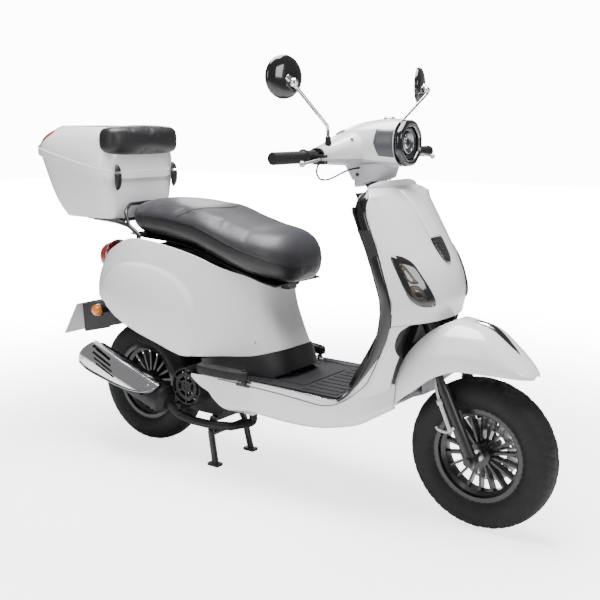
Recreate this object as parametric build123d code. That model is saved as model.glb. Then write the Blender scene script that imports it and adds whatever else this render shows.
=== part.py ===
"""Moped scooter as an assembly of separate pieces, in millimetres.

Shapes are laid out with X forward from the rear axle, Y to the rider's left and Z up from the ground.
save() moves every piece so that the origin lies under the middle of the whole vehicle.
"""
from build123d import *
from math import cos, hypot, pi, radians, sin, tan
import os

os.makedirs("parts", exist_ok=True)

# ---------------------------------------------------------------- driving dimensions
WHEELBASE = 1296.0
TYRE_R = 217.0             # 100/90-10 tyre
TYRE_W = 104.0
TYRE_WALL = 9.0
BEAD_R = 127.0             # 10 inch rim
FLANGE_R = 137.0
RIM_W = 74.0
RIM_WALL = 5.0
SPOKES = 18
SPOKE_T = 7.0
DISC_R = 92.0
DISC_T = 4.0
DISC_Y = 34.0
AXLE_R = 6.0
BEARING_R = 16.0
BEARING_W = 11.0
HUB_HALF = 30.0
RUN = 0.05                 # radial running clearance of a shaft
GAP = 0.5                  # room between neighbouring mouldings
RAKE = 26.0
FORK_OFFSET = 18.0         # fork legs lie this far ahead of the steering axis
FORK_HALF = 76.0           # half the distance between the fork legs
STANCHION_R = 13.0
STANCHION_LOW_Z = 300.0     # foot of the fork's inner tubes at rest
FORK_TRAVEL = 50.0          # along the leg
SLIDER_R = 18.0
SLIDER_TOP_Z = 400.0
CROWN_Z = 520.0
HEAD_TUBE_R = 24.0
HEAD_TUBE_BORE = 20.0
STEM_R = 13.0
HEAD_LOW_Z = 620.0
HEAD_HIGH_Z = 850.0
PLATE = 3.0                # wall of the moulded panels
SHIELD_HALF = 200.0
SHIELD_BAND = 38.0         # width of the dark edge band along the shield
FLOOR_HALF = 190.0
FLOOR_Z = 345.0
BELLY_Z = 252.0
BAR_X = 874.0
BAR_Z = 1040.0
BAR_R = 11.0
GRIP_R = 17.0
GRIP_IN = 279.0
GRIP_OUT = 418.0
LAMP_X = 1038.0            # front rim of the headlight
LAMP_Z = 1074.0
LAMP_R = 64.0
MIRROR_R = 56.0
MIRROR_AT = (868.0, 357.0, 1247.0)
MIRROR_ELBOW = (900.0, 350.0, 1222.0)
MIRROR_FOOT = (891.0, 184.0, 1078.0)
MIRROR_TURN = 18.0
CASE_REAR_X = -408.0
CASE_FRONT_X = -6.0
CASE_HALF = 197.0
CASE_SEAM_Z = 1002.0       # seam height at the middle of the case
CASE_TILT = 0.215          # the seam rises this much per mm towards the rear
ENGINE_PIVOT = (400.0, 330.0)
ENGINE_BOLT_R = 8.0
STAND_PIVOT = (345.0, 150.0)
STAND_FOOT_X = 374.0
STAND_HALF = 88.0
STAND_R = 11.0
SHOCK_X = -25.0
SHOCK_Y = 118.0
SHOCK_LOW_Z = 300.0
SHOCK_HIGH_Z = 570.0
RAIL_Y = 128.0
RAIL_R = 13.0
SEAT_HINGE = (625.0, 634.0)
RACK_FOOT = (80.0, 130.0, 748.0)
RAIL_LINE = [
    (812, 290), (640, 288), (520, 290), (452, 330), (418, 420), (380, 520), (300, 640), (190, 700), (80, 716), (-10, 690),
]
CRANK = (300.0, 275.0)     # crankshaft's X and Z
FAN_HOUSING_R = 62.0

ORIGIN_X = (CASE_REAR_X + WHEELBASE + TYRE_R) / 2
AXIS_BACK = FORK_OFFSET / cos(radians(RAKE))
AXIS_DIR = Vector(-sin(radians(RAKE)), 0, cos(radians(RAKE)))


# ---------------------------------------------------------------- helpers
def axis_point(z):
    """Point of the steering axis at a height."""
    return Vector(WHEELBASE - AXIS_BACK - tan(radians(RAKE)) * (z - TYRE_R), 0, z)


def leg_point(z, side):
    """Point of a fork leg at a height, on side -1 or 1."""
    p = axis_point(z)
    return Vector(p.X + AXIS_BACK, side * FORK_HALF, z)


def save(node, *shapes):
    """Write one node, shifted to the vehicle's own origin."""
    solids = [s for shape in shapes for s in shape.solids()]
    whole = solids[0] if len(solids) == 1 else Compound(children=solids)
    export_step(whole.moved(Location((-ORIGIN_X, 0, 0))), f"parts/{node}.step")


def rod(a, b, r, r_end=None):
    """Cylinder, or a cone, from point a to point b."""
    a, b = Vector(*a), Vector(*b)
    plane = Plane(origin=a, z_dir=(b - a).normalized())
    if r_end is None:
        return Solid.make_cylinder(r, (b - a).length, plane)
    return Solid.make_cone(r, r_end, (b - a).length, plane)


def ring(a, b, r_out, r_in):
    """Tube from a to b with a bore."""
    a, b = Vector(*a), Vector(*b)
    step = (b - a).normalized()
    return rod(a, b, r_out) - rod(a - step, b + step, r_in)


def block(x0, x1, y0, y1, z0, z1):
    return Solid.make_box(x1 - x0, y1 - y0, z1 - z0, Plane(origin=(x0, y0, z0)))


def bent_tube(points, r, bend):
    """Round tube along straight runs joined by arcs."""
    path = FilletPolyline(*points, radius=bend)
    return sweep(Plane(origin=path @ 0, z_dir=path % 0) * Circle(r), path=path).solid()


def cord_radii(points):
    """Largest arc at each corner of a cord's route that its two runs allow."""
    radii = []
    for a, b, c in zip(points, points[1:], points[2:]):
        u, v = Vector(*b) - Vector(*a), Vector(*c) - Vector(*b)
        turn = radians(u.get_angle(v))
        radii.append(0.45 * min(u.length, v.length) / tan(turn / 2))
    print("cord radii", [round(r, 1) for r in radii])
    return radii


def lathe(points, x, z):
    """Turn a closed (y, radius) outline about a crosswise axis at x, z."""
    face = make_face(Polyline(*[(0, y, r) for y, r in points], close=True))
    return revolve(face, Axis.Y).solid().moved(Location((x, 0, z)))


def prism(points, y0, y1):
    """Extrude a straight-sided outline given in X and Z from y0 to y1."""
    face = make_face(Polyline(*[(x, y0, z) for x, z in points], close=True))
    return extrude(face, amount=y1 - y0, dir=(0, 1, 0)).solid()


def soft_prism(points, y0, y1):
    """Extrude a closed smooth curve given in X and Z from y0 to y1."""
    face = make_face(Spline(*[(x, y0, z) for x, z in points], periodic=True))
    return extrude(face, amount=y1 - y0, dir=(0, 1, 0)).solid()


def super_point(t, a, b, power):
    """Point of a superellipse with half axes a and b."""
    c, s = cos(t), sin(t)
    grow = 2 / power
    return (a * abs(c) ** grow * (1 if c >= 0 else -1), b * abs(s) ** grow * (1 if s >= 0 else -1))


def level_ring(z, x_rear, x_front, half, power=3.0, tilt=0.0, count=24):
    """Closed level curve at height z; tilt lifts its rear end."""
    xc = (x_front + x_rear) / 2
    pts = []
    for i in range(count):
        x, y = super_point(2 * pi * (i + 0.5) / count, (x_front - x_rear) / 2, half, power)
        pts.append((xc + x, y, z - tilt * x))
    return Wire([Spline(*pts, periodic=True)])


def cross_ring(x, half, z_low, z_high, power=2.4, count=14):
    """Closed curve across the vehicle at x."""
    pts = []
    for i in range(count):
        y, z = super_point(2 * pi * (i + 0.5) / count, half, (z_high - z_low) / 2, power)
        pts.append((x, y, (z_high + z_low) / 2 + z))
    return Wire([Spline(*pts, periodic=True)])


def side_ring(y, x_mid, z_mid, half_x, half_z, power=2.3, count=14):
    """Closed curve in a plane of constant y."""
    pts = []
    for i in range(count):
        x, z = super_point(2 * pi * (i + 0.5) / count, half_x, half_z, power)
        pts.append((x_mid + x, y, z_mid + z))
    return Wire([Spline(*pts, periodic=True)])


def flip(shape):
    """The same piece on the other side of the vehicle."""
    return shape.mirror(Plane.XZ)


def biggest(shape):
    return max(shape.solids(), key=lambda s: s.volume)


# ---------------------------------------------------------------- wheels
def tyre(x):
    """Tubeless tyre: carcass with an open inside."""
    half, bead = TYRE_W / 2, FLANGE_R - 8
    outer = [
        (0, TYRE_R), (half * 0.4, TYRE_R - 2.5), (half * 0.73, TYRE_R - 11), (half * 0.94, TYRE_R - 27),
        (half, TYRE_R - 44), (half * 0.93, TYRE_R - 62), (RIM_W / 2 + 1, FLANGE_R + 3),
        (RIM_W / 2 - RIM_WALL - GAP, FLANGE_R + 1), (RIM_W / 2 - RIM_WALL - GAP, bead),
    ]
    wall = TYRE_WALL
    inner = [
        (RIM_W / 2 - RIM_WALL - wall, bead), (half * 0.93 - wall, TYRE_R - 60), (half - wall, TYRE_R - 44),
        (half * 0.9 - wall, TYRE_R - 27 - wall * 0.4), (half * 0.5, TYRE_R - 4 - wall), (0, TYRE_R - wall),
    ]
    right, inside = outer[1:], inner[:-1]
    loop = [(-y, r) for y, r in right][::-1] + outer + inner + [(-y, r) for y, r in inside][::-1]
    return lathe(loop, x, TYRE_R)


def wheel_rim(x, bore):
    """Cast wheel: barrel, hub and narrow spokes."""
    w, t, well = RIM_W / 2, RIM_WALL, BEAD_R - 12
    barrel = [
        (-w, FLANGE_R), (-w + t, FLANGE_R), (-w + t, BEAD_R + 1), (-w + 18, BEAD_R), (-w + 24, well),
        (w - 24, well), (w - 18, BEAD_R), (w - t, BEAD_R + 1), (w - t, FLANGE_R), (w, FLANGE_R),
        (w, BEAD_R - t), (w - 15, BEAD_R - t - 1), (w - 22, well - t), (-w + 22, well - t),
        (-w + 15, BEAD_R - t - 1), (-w, BEAD_R - t),
    ]
    spokes = []
    for i in range(SPOKES):
        spoke = block(-SPOKE_T / 2, SPOKE_T / 2, -13, 13, 30, well - t + 2)
        spokes.append(spoke.rotate(Axis.Y, 360 / SPOKES * i))
    hub = rod((0, -HUB_HALF, 0), (0, HUB_HALF, 0), 34)
    wheel = (lathe(barrel, 0, 0) + hub + spokes) - rod((0, -HUB_HALF - 1, 0), (0, HUB_HALF + 1, 0), bore)
    return biggest(wheel).moved(Location((x, 0, TYRE_R)))


def front_wheel():
    x, z = WHEELBASE, TYRE_R
    save("front_tyre", tyre(x))
    save("front_rim", wheel_rim(x, BEARING_R))
    made = []
    for side in (-1, 1):
        made.append(ring((x, side * HUB_HALF, z), (x, side * (HUB_HALF - BEARING_W), z), BEARING_R, AXLE_R + RUN))
    inner = HUB_HALF - BEARING_W
    made.append(ring((x, -inner, z), (x, inner, z), 10, AXLE_R + 1))
    save("front_wheel_bearings", *made)
    disc = ring((x, DISC_Y, z), (x, DISC_Y + DISC_T, z), DISC_R, 58)
    for i in range(5):
        arm = block(-8, 8, DISC_Y, DISC_Y + DISC_T, 26, 62)
        disc = disc + arm.rotate(Axis.Y, 72 * i).moved(Location((x, 0, z)))
    disc = disc + ring((x, HUB_HALF, z), (x, DISC_Y + DISC_T, z), 30, 22)
    for i in range(20):
        a, rr = 2 * pi * i / 20, (70 if i % 2 else 82)
        cx, cz = x + rr * cos(a), z + rr * sin(a)
        disc = disc - rod((cx, DISC_Y - 1, cz), (cx, DISC_Y + DISC_T + 1, cz), 3.2)
    save("front_brake_disc", biggest(disc))


def rear_wheel():
    save("rear_tyre", tyre(0))
    save("rear_rim", wheel_rim(0, AXLE_R + 2 + RUN))


# ---------------------------------------------------------------- fork
def fork():
    crown = block(-30, 33, -FORK_HALF - 15, FORK_HALF + 15, -13, 13).rotate(Axis.Y, -RAKE)
    crown = crown.moved(Location(axis_point(CROWN_Z)))
    stem = rod(axis_point(CROWN_Z), axis_point(HEAD_HIGH_Z + 110), STEM_R)
    steer = crown + stem
    legs = []
    for s in (-1, 1):
        steer = steer - rod(leg_point(CROWN_Z - 60, s), leg_point(CROWN_Z + 60, s), STANCHION_R)
        legs.append(rod(leg_point(STANCHION_LOW_Z, s), leg_point(CROWN_Z + 6, s), STANCHION_R))
    save("steering_stem", biggest(steer), *legs)
    sliders = []
    for s in (-1, 1):
        bore = rod(leg_point(STANCHION_LOW_Z - FORK_TRAVEL - 8, s), leg_point(SLIDER_TOP_Z + 40, s), STANCHION_R + RUN)
        body = rod(leg_point(TYRE_R - 8, s), leg_point(SLIDER_TOP_Z, s), SLIDER_R)
        lug = rod((WHEELBASE, s * (FORK_HALF - 15), TYRE_R), (WHEELBASE, s * (FORK_HALF + 16), TYRE_R), 17)
        hole = rod((WHEELBASE, s * 40, TYRE_R), (WHEELBASE, s * 120, TYRE_R), AXLE_R)
        sliders.append(biggest((body + lug) - bore - hole))
        cap = rod(leg_point(SLIDER_TOP_Z, s), leg_point(SLIDER_TOP_Z + 14, s), SLIDER_R - 1)
        sliders.append(biggest(cap - bore))
    out = FORK_HALF + SLIDER_R + 0.3
    shaft = rod((WHEELBASE, -out, TYRE_R), (WHEELBASE, out, TYRE_R), AXLE_R)
    head = rod((WHEELBASE, -out - 10, TYRE_R), (WHEELBASE, -out, TYRE_R), 11)
    nut = rod((WHEELBASE, out, TYRE_R), (WHEELBASE, out + 10, TYRE_R), 12)
    save("fork_sliders", *sliders, biggest(shaft + head + nut))


def front_brake():
    """Caliper that straddles the disc behind the left leg, with its hose up to the crown's height."""
    at = Vector(WHEELBASE - 66, 0, TYRE_R + 46)
    body = block(-20, 20, 23, 57.5, -30, 30).rotate(Axis.Y, -36).moved(Location(at))
    slot = rod((WHEELBASE, DISC_Y - 1.5, TYRE_R), (WHEELBASE, DISC_Y + DISC_T + 1.5, TYRE_R), DISC_R + 3)
    rim_room = rod((WHEELBASE, 0, TYRE_R), (WHEELBASE, 28, TYRE_R), FLANGE_R)
    leg = rod(leg_point(230, 1), leg_point(390, 1), SLIDER_R + 0.3)
    arm_low = block(-52, 18, 57.5, 64, -9, 9).rotate(Axis.Y, -10).moved(Location((WHEELBASE - 40, 0, TYRE_R + 40)))
    caliper = biggest(((body - rim_room) + arm_low) - slot - leg)
    save("front_caliper", caliper)
    route = [(1211.8, 45, 289), (1201, 46, 304), (1190, 50, 323), (1183, 56, 346), (1181, 65, 370), (1184.6, 74, 393)]
    save("brake_hose", bent_tube(route, 3.0, cord_radii(route)))


def fender_section(x, half, low, high, inset):
    """Arch across the wheel at x, closed by a line below."""
    pts = []
    for i in range(13):
        y, z = super_point(pi * i / 12, half - inset, high - inset - low, 2.6)
        pts.append((x, y, low + z))
    arch = Spline(*pts)
    base = Line(pts[-1], pts[0])
    return Wire([arch, base])


FENDER = [
    (1080, 136, 352, 560), (1145, 133, 402, 582), (1210, 120, 448, 594), (1256, 110, 466, 592),
    (1318, 96, 468, 574), (1373, 80, 464, 532), (1415, 60, 460, 496), (1440, 34, 456, 472),
]


def fender():
    """Front mudguard, open behind where the fork crown passes, with a stay to the crown."""
    skin = Solid.make_loft([fender_section(*s, 0) for s in FENDER])
    hollow = Solid.make_loft([fender_section(x, w, low - 4, top, PLATE) for x, w, low, top in FENDER[:-1]])
    edge = [(1000, 300), (1083, 352), (1083, 412), (1107, 495), (1169, 569), (1224, 600), (1224, 700), (1000, 700)]
    shell = skin - hollow - prism(edge, -200, 200)
    stay = prism([(1150, 526), (1150, 543), (1212, 590), (1285, 590), (1285, 576), (1222, 572)], -22, 22) & skin
    crown_room = block(-31, 33.4, -120, 120, -14, 14).rotate(Axis.Y, -RAKE).moved(Location(axis_point(CROWN_Z)))
    save("front_fender", biggest(shell + (stay - crown_room)))


# ---------------------------------------------------------------- leg shield
SHIELD_BACK = [
    (925, 350), (958, 372), (980, 395), (1021, 462), (1046, 518), (1063, 574), (1069, 620), (1066, 660),
    (1038, 743), (1016, 799), (994, 845), (975, 890), (972, 925), (985, 950),
]
SHIELD_LEVELS = [
    # height, centre X, half width
    (285, 985, 184), (330, 1040, 196), (400, 1125, SHIELD_HALF), (470, 1165, SHIELD_HALF), (540, 1178, SHIELD_HALF),
    (600, 1183, SHIELD_HALF), (650, 1197, SHIELD_HALF), (700, 1190, SHIELD_HALF), (743, 1173, 198),
    (793, 1142, 194), (845, 1110, 186), (893, 1077, 172), (930, 1042, 148), (955, 1008, 112),
]


def back_x(z):
    """X of the shield's rear face at a height."""
    line = [(800, 285)] + SHIELD_BACK
    for (x0, z0), (x1, z1) in zip(line, line[1:]):
        if z0 <= z <= z1:
            return x0 + (x1 - x0) * (z - z0) / (z1 - z0)
    return line[-1][0]


def shield_block(inset=0.0, deep=0.0):
    """Solid bounded by the shield's outer face; deep carries its back rearwards."""
    wires = []
    for z, x_mid, half in SHIELD_LEVELS:
        x_edge = min(back_x(z) + SHIELD_BAND + 2.2, x_mid - 25)
        a = (x_edge - deep, half - inset, z)
        b = (x_edge - deep, -half + inset, z)
        m = (x_mid - inset, 0, z)
        if deep:
            p, q = (x_edge, half - inset, z), (x_edge, -half + inset, z)
            wires.append(Wire([Line(a, p), ThreePointArc(p, m, q), Line(q, b), Line(b, a)]))
        else:
            wires.append(Wire([ThreePointArc(a, m, b), Line(b, a)]))
    return Solid.make_loft(wires)


ARCH_BACK = [(1012, 200), (1012, 412), (1022, 495), (1058, 569), (1096, 625)]


def fender_room(grow=0.0):
    """Room that the turning fender, crown and wheel need, about the steering axis."""
    low, mid, high = axis_point(180), axis_point(470), axis_point(610)
    top = AXIS_DIR * grow
    cone = rod(low, mid, 200 + grow, 172 + grow) + rod(mid, high + top, 172 + grow, 142 + grow)
    ahead = prism([(x - grow, z) for x, z in ARCH_BACK] + [(1400, 625 + grow), (1400, 200)], -260, 260)
    return cone & ahead


def shield():
    """White front panel with the arch liner behind the wheel."""
    outer = shield_block()
    shell = (outer - shield_block(inset=PLATE, deep=60)) + (fender_room(PLATE) & shield_block(inset=PLATE))
    below = prism([(780, 200), (780, 352), (927, 352), (983, 288), (1010, 297), (1087, 341), (1160, 398), (1260, 460), (1300, 200)], -260, 260)
    stem = rod(axis_point(540), axis_point(640), HEAD_TUBE_R + 4)
    save("leg_shield_front", biggest(shell - fender_room() - below - stem))


def shield_back(offset=0.0):
    """Outline of the shield's rear face, moved forward by offset."""
    return [(x + offset, z) for x, z in SHIELD_BACK]


def inner_panel():
    """Rider-side panel with its edge bands and the tunnel over the steering column."""
    back, front = shield_back(), shield_back(PLATE)
    plate = prism(back + front[::-1], -SHIELD_HALF + 4, SHIELD_HALF - 4)
    band_front = [(x + SHIELD_BAND, z) for x, z in SHIELD_BACK[:-3]]
    band = prism(SHIELD_BACK[:-3] + band_front[::-1], SHIELD_HALF - 4, SHIELD_HALF - 1)
    tunnel_back = [(872, 352), (898, 400), (945, 480), (994, 560), (1018, 620), (996, 700), (957, 780), (922, 850), (888, 930)]
    tunnel = prism(tunnel_back + [(1010, 930), (1010, 850), (1050, 743), (1075, 660), (1075, 600), (1025, 462), (985, 395), (940, 352)], -46, 46)
    hollow_back = [(x + PLATE, z) for x, z in tunnel_back]
    hollow = prism([(872, 340)] + hollow_back + [(894, 960), (1100, 960), (1100, 340)], -43, 43)
    panel = (plate + band + flip(band) + tunnel) - hollow
    outline = block(850, 1200, -150, 150, 300, 940) + block(850, 1200, -230, 230, 300, 905)
    panel = panel & outline
    save("leg_shield_inner", biggest(panel))


HORN_LINE = [(1018, 950), (1050, 924), (1080, 893), (1113, 840), (1123, 822)]
GRILLE_LINE = [(1123.5, 820.5), (1146, 786), (1166, 752), (1168, 746)]


def raised_strip(line, half, low, high):
    """Strip that stands off a line of points, from low to high ahead of it."""
    near = [(x + low, z + low * 0.6) for x, z in line]
    far = [(x + high, z + high * 0.6) for x, z in line]
    return prism(near + far[::-1], -half, half)


def horn_cover():
    face = shield_block(inset=-0.4)
    slot = block(1030, 1080, -14, 14, 908, 936)
    cover = raised_strip(HORN_LINE, 36, -8, 9) - face - slot
    save("horn_cover", biggest(cover))
    grille = raised_strip(GRILLE_LINE, 30, -8, 8) - face
    for i in range(3):
        grille = grille - block(1100, 1200, -22, 22, 768 + 14 * i, 774 + 14 * i)
    save("horn_grille", biggest(grille))


LENS = [(-150, 700), (-118, 712), (-84, 690), (-66, 628), (-78, 612), (-112, 618), (-138, 650)]


def signals():
    """Front turn signal lenses on the shield and rear ones beside the plate holder."""
    face = make_face(Spline(*[(1000, y, z) for y, z in LENS], periodic=True))
    plug = extrude(face, amount=260, dir=(1, 0, 0))
    lens = biggest((plug & shield_block(inset=-2.4)) - shield_block(inset=-0.4))
    rear = rod((-166, -92, 468), (-166, -124, 470), 22, 19)
    rear = rear & block(-190, -142, -130, -80, 440, 500)
    save("turn_signals", lens, flip(lens), rear, flip(rear))


# ---------------------------------------------------------------- floor
def frame_room():
    """Room round the frame tubes where they pass the floor."""
    room = [rod((560, 0, 270), (568, 0, 440), 13), rod((872, 0, 280), (952, 0, 408), 23)]
    for s in (-1, 1):
        for a, b in ((RAIL_LINE[1], RAIL_LINE[2]), (RAIL_LINE[2], RAIL_LINE[3]), (RAIL_LINE[3], RAIL_LINE[4])):
            room.append(rod((a[0], s * RAIL_Y, a[1]), (b[0], s * RAIL_Y, b[1]), RAIL_R + 2))
    return room


def floor():
    z0, z1 = FLOOR_Z - 12, FLOOR_Z
    tray = block(470, 918, -FLOOR_HALF + GAP, FLOOR_HALF - GAP, z0, z1 - 3)
    tray = tray + prism([(600, z0), (606, 270), (622, BELLY_Z), (860, BELLY_Z), (960, 275), (985, 292), (983, 296), (955, 279), (858, BELLY_Z + 3), (624, BELLY_Z + 3), (609, 271), (603, z0)], -166, 166)
    pivot = rod((592, -203, z1 - 3), (592, -203, z1 + 10), 9) + block(560, 610, -203, -186, z1 - 10, z1 - 3)
    pin = rod((592, -203, z1 + 9), (592, -203, z1 + 44), 5)
    peg = pivot + pin
    save("floor_board", biggest((tray + peg + flip(peg)) - frame_room()))
    mat = block(484, 905, -158, 158, z1 - 2.5, z1 + 1)
    for i in range(9):
        for x0, x1 in ((500, 640), (770, 890)):
            mat = mat + block(x0, x1, -140 + 33 * i, -124 + 33 * i, z1 + 1, z1 + 3)
    mat = mat + block(655, 755, -110, 110, z1 + 1, z1 + 3)
    save("floor_mat", biggest(mat - frame_room()))
    out = FLOOR_HALF
    side = [(367, 334), (399, 303), (435, 288), (458, 260), (494, 241), (651, 250), (839, 250), (912, 263), (980, 284), (925, 346), (829, 346), (734, 350), (500, 352), (420, 345)]
    outer = prism(side, 0, out + 4)
    slab = []
    for z, y in ((360, out + 4), (330, out + 3), (290, out - 3), (235, out - 22)):
        slab.append((y, z))
    inner = [(y - PLATE, z) for y, z in slab]
    section = make_face(Polyline(*[(300, y, z) for y, z in slab + inner[::-1]], close=True))
    skin = extrude(section, amount=720, dir=(1, 0, 0)).solid()
    notch = block(556, 614, out - 6, out + 8, z0 - 4, z1 + 12)
    panel = biggest((outer & skin) - notch)
    save("floor_side_panels", panel, flip(panel))


# ---------------------------------------------------------------- rear body
BODY_LEVELS = [
    # height, rear X, half width at the wheel, at the knees, at the front corner, front X
    (380, -120, 178, 166, 132, 676), (480, -172, 196, 166, 122, 634), (580, -188, 196, 160, 112, 602),
    (680, -128, 180, 152, 108, 598), (770, -10, 156, 142, 106, 600),
]
BODY_SIDE = [
    (-200, 585), (-150, 548), (-46, 516), (28, 478), (110, 449), (198, 422), (300, 391), (368, 393), (461, 404),
    (563, 413), (650, 436), (760, 462), (760, 640), (641, 624), (544, 658), (443, 686), (364, 714), (256, 738),
    (152, 752), (60, 752), (0, 728), (-56, 700), (-130, 660), (-200, 640),
]


def body_block(grow=0.0, drop=0.0):
    """Plan-view loft of the rear body; grow moves its wall outwards."""
    wires = []
    for i, (z, rear, wheel, knee, corner, front) in enumerate(BODY_LEVELS):
        height = z + (-drop if i == 0 else drop if i == len(BODY_LEVELS) - 1 else 0)
        half = [
            (rear - grow, 0), (rear * 0.86 - grow * 0.8, wheel * 0.42), (rear * 0.42 - grow * 0.4, (wheel + grow) * 0.80),
            (150, wheel + grow), (400, knee + grow), (540, corner + grow), (front - 12 + grow * 0.7, (corner + grow) * 0.62), (front + grow, 0),
        ]
        pts = half + [(x, -y) for x, y in half[1:-1]][::-1]
        wires.append(Wire([Spline(*[(x, y, height) for x, y in pts], periodic=True)]))
    return Solid.make_loft(wires)


def rear_body():
    """White monocoque-style shell round the seat's underside, open above and below."""
    profile = prism(BODY_SIDE, -260, 260)
    outer = body_block() & profile
    roofed = prism([(x + (4 if x < 60 else 0), z - (4 if z > 600 and x < 70 else 0)) for x, z in BODY_SIDE[:1]] + [
        (-220, 300), (800, 300), (800, 800), (62, 800), (62, 747), (0, 723), (-54, 695), (-128, 655), (-196, 636)], -260, 260)
    shell = outer - (body_block(grow=-PLATE, drop=8) & roofed)
    lamp = rod((-260, 0, 652), (-60, 0, 600), 34)
    hinge_notch = block(556, 650, -38, 38, 608, 690)
    legs = [rod((RACK_FOOT[0], s * RACK_FOOT[1], 700), (RACK_FOOT[0], s * RACK_FOOT[1], 780), 7.6) for s in (-1, 1)]
    save("rear_body", biggest(shell - lamp - hinge_notch - legs))


COVER_RIM = [(-96, 570), (-60, 632), (29, 668), (130, 676), (220, 664), (300, 636), (345, 592), (370, 520), (372, 440), (352, 398), (300, 396), (198, 430), (110, 458), (28, 486), (-50, 524)]


def side_covers():
    """Cheek covers that stand proud of the rear body on both sides."""
    xm = sum(x for x, z in COVER_RIM) / len(COVER_RIM)
    zm = sum(z for x, z in COVER_RIM) / len(COVER_RIM)

    def dome(shrink, drop):
        wires = []
        for y, k in ((140, 1.0), (200, 0.99), (213, 0.9), (219, 0.7)):
            pts = [(xm + (x - xm) * (k - shrink), y - drop, zm + (z - zm) * (k - shrink)) for x, z in COVER_RIM]
            wires.append(Wire([Spline(*pts, periodic=True)]))
        return Solid.make_loft(wires)

    shell = dome(0, 0) - dome(0.016, PLATE)
    cover = biggest(shell - body_block(grow=GAP, drop=30) - block(-400, 500, 100, 150, 300, 800))
    save("side_covers", cover, flip(cover))


def skirt():
    """Dark moulding between the body and the floor."""
    side = [(392, 390), (461, 402), (563, 411), (650, 434), (700, 452), (735, 462), (760, 470), (760, 420), (700, 380), (628, FLOOR_Z + 3.4), (392, FLOOR_Z + 3.4)]
    outer = body_block(grow=4, drop=60)
    skin = (outer - body_block(grow=1, drop=70)) & prism(side, -260, 260)
    save("lower_skirt", biggest(skin))


def bucket():
    """Open helmet tub under the seat."""
    low, high = 522.0, 728.0
    outer = Solid.make_loft([level_ring(low, 128, 400, 92, 4.5), level_ring(high, 104, 424, 112, 4.5)])
    inner = Solid.make_loft([level_ring(low + PLATE, 131, 397, 89, 4.5), level_ring(high + 2, 107, 421, 109, 4.5)])
    above = prism([(60, 800), (60, 742)] + [(x, z - 6) for x, z in PAN_LINE[1:6]] + [(450, 800)], -200, 200)
    ledge = block(345, 395, -170, 170, 660, 663) & body_block(grow=-PLATE - 0.4)
    bosses = block(235, 255, -136, 136, 672, 692)
    for s in (-1, 1):
        (xa, za), (xb, zb) = RAIL_LINE[6], RAIL_LINE[7]
        bosses = bosses - rod((xa, s * RAIL_Y, za), (xb, s * RAIL_Y, zb), RAIL_R + 0.4)
    save("helmet_bucket", biggest((outer + ledge + bosses) - inner - above))


# ---------------------------------------------------------------- seat
SEAT = [
    # X, bottom, top, half width
    (4, 790, 846, 62), (40, 764, 864, 112), (120, 752, 874, 142), (210, 748, 872, 154), (290, 738, 864, 158),
    (370, 718, 850, 160), (450, 690, 832, 162), (530, 666, 812, 160), (600, 648, 800, 150), (650, 640, 784, 128),
    (680, 644, 752, 92), (692, 664, 724, 50),
]
PAN_LINE = [(30, 758), (100, 748.5), (200, 744.5), (290, 734.5), (370, 714.5), (450, 686.5), (530, 662.5), (600, 644.5), (650, 636)]


def seat():
    cushion = Solid.make_loft([cross_ring(x, w, lo, hi, 2.6) for x, lo, hi, w in SEAT])
    line = [(x, z + 2) for x, z in PAN_LINE]
    pan = prism(line + [(x, z + 6) for x, z in PAN_LINE][::-1], -120, 120)
    below = prism([(0, 500), (0, 765)] + [(x, z + 6.4) for x, z in PAN_LINE] + [(700, 642.4), (700, 500)], -200, 200)
    save("seat_cushion", biggest(cushion - below))
    x, z = SEAT_HINGE
    ears = []
    for s in (-1, 1):
        ear = ring((x, s * 30, z), (x, s * 22, z), 9, 4 + RUN)
        web = block(x - 5, x + 5, min(s * 30, s * 22), max(s * 30, s * 22), z + 5, z + 9.6)
        ears.append((ear + web) - rod((x, -50, z), (x, 50, z), 4 + RUN))
    hook = block(150, 156, -14, 14, 716, 749)
    save("seat_base", biggest(pan + ears + hook))


# ---------------------------------------------------------------- rear end
def tail():
    lens = Solid.make_loft([cross_ring(-222, 26, 618, 660), cross_ring(-205, 52, 602, 690), cross_ring(-150, 60, 600, 712)])
    lens = lens - body_block(grow=GAP)
    save("tail_light", biggest(lens))
    guard = prism([(-290, 366), (-160, 398), (-118, 436), (-120, 550), (-150, 550), (-156, 500), (-205, 490), (-296, 470)], -62, 62)
    room = prism([(-320, 352), (-160, 384), (-60, 420), (-60, 560), (-126, 541), (-158, 494), (-200, 484), (-282, 466)], -58, 58)
    ears = block(-176, -156, -91, 91, 458, 478) + block(-200, -156, -60, 60, 458, 466)
    top = block(-150, -126, -50, 50, 548, 578) + (block(-200, -126, -50, 50, 576, 581) & body_block(grow=-PLATE - 0.4))
    rear = prism([(-302.2, 470), (-331.4, 423), (-318, 418), (-284, 460)], -30, 30)
    save("rear_mudguard", biggest((guard - room) + ears + top + rear))
    plate = prism([(-303, 474), (-300, 474), (-376, 352), (-379, 352)], -85, 85)
    save("number_plate", plate)


def rack():
    """Carrier tubes with the grab loop round the seat's tail and a plate for the top case."""
    fx, fy, fz = RACK_FOOT
    side_pts = [(fx + 8, fy, fz + 9), (40, 134, 790), (-30, 122, 798), (-110, 96, 798), (-190, 78, 798)]
    tubes = []
    for s in (-1, 1):
        foot = rod((fx, s * fy, fz), (fx, s * fy, fz + 16), 8)
        tubes.append(bent_tube([(x, s * y, z) for x, y, z in side_pts], 8, 40) + foot)
    loop = bent_tube([(40, -134, 790), (14, -124, 836), (-5, -84, 856), (-7, 0, 858), (-5, 84, 856), (14, 124, 836), (40, 134, 790)], 6, 30)
    deck = block(-210, -26, -92, 92, 795, 807)
    save("rear_rack", biggest(deck + tubes[0] + tubes[1] + loop))


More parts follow.
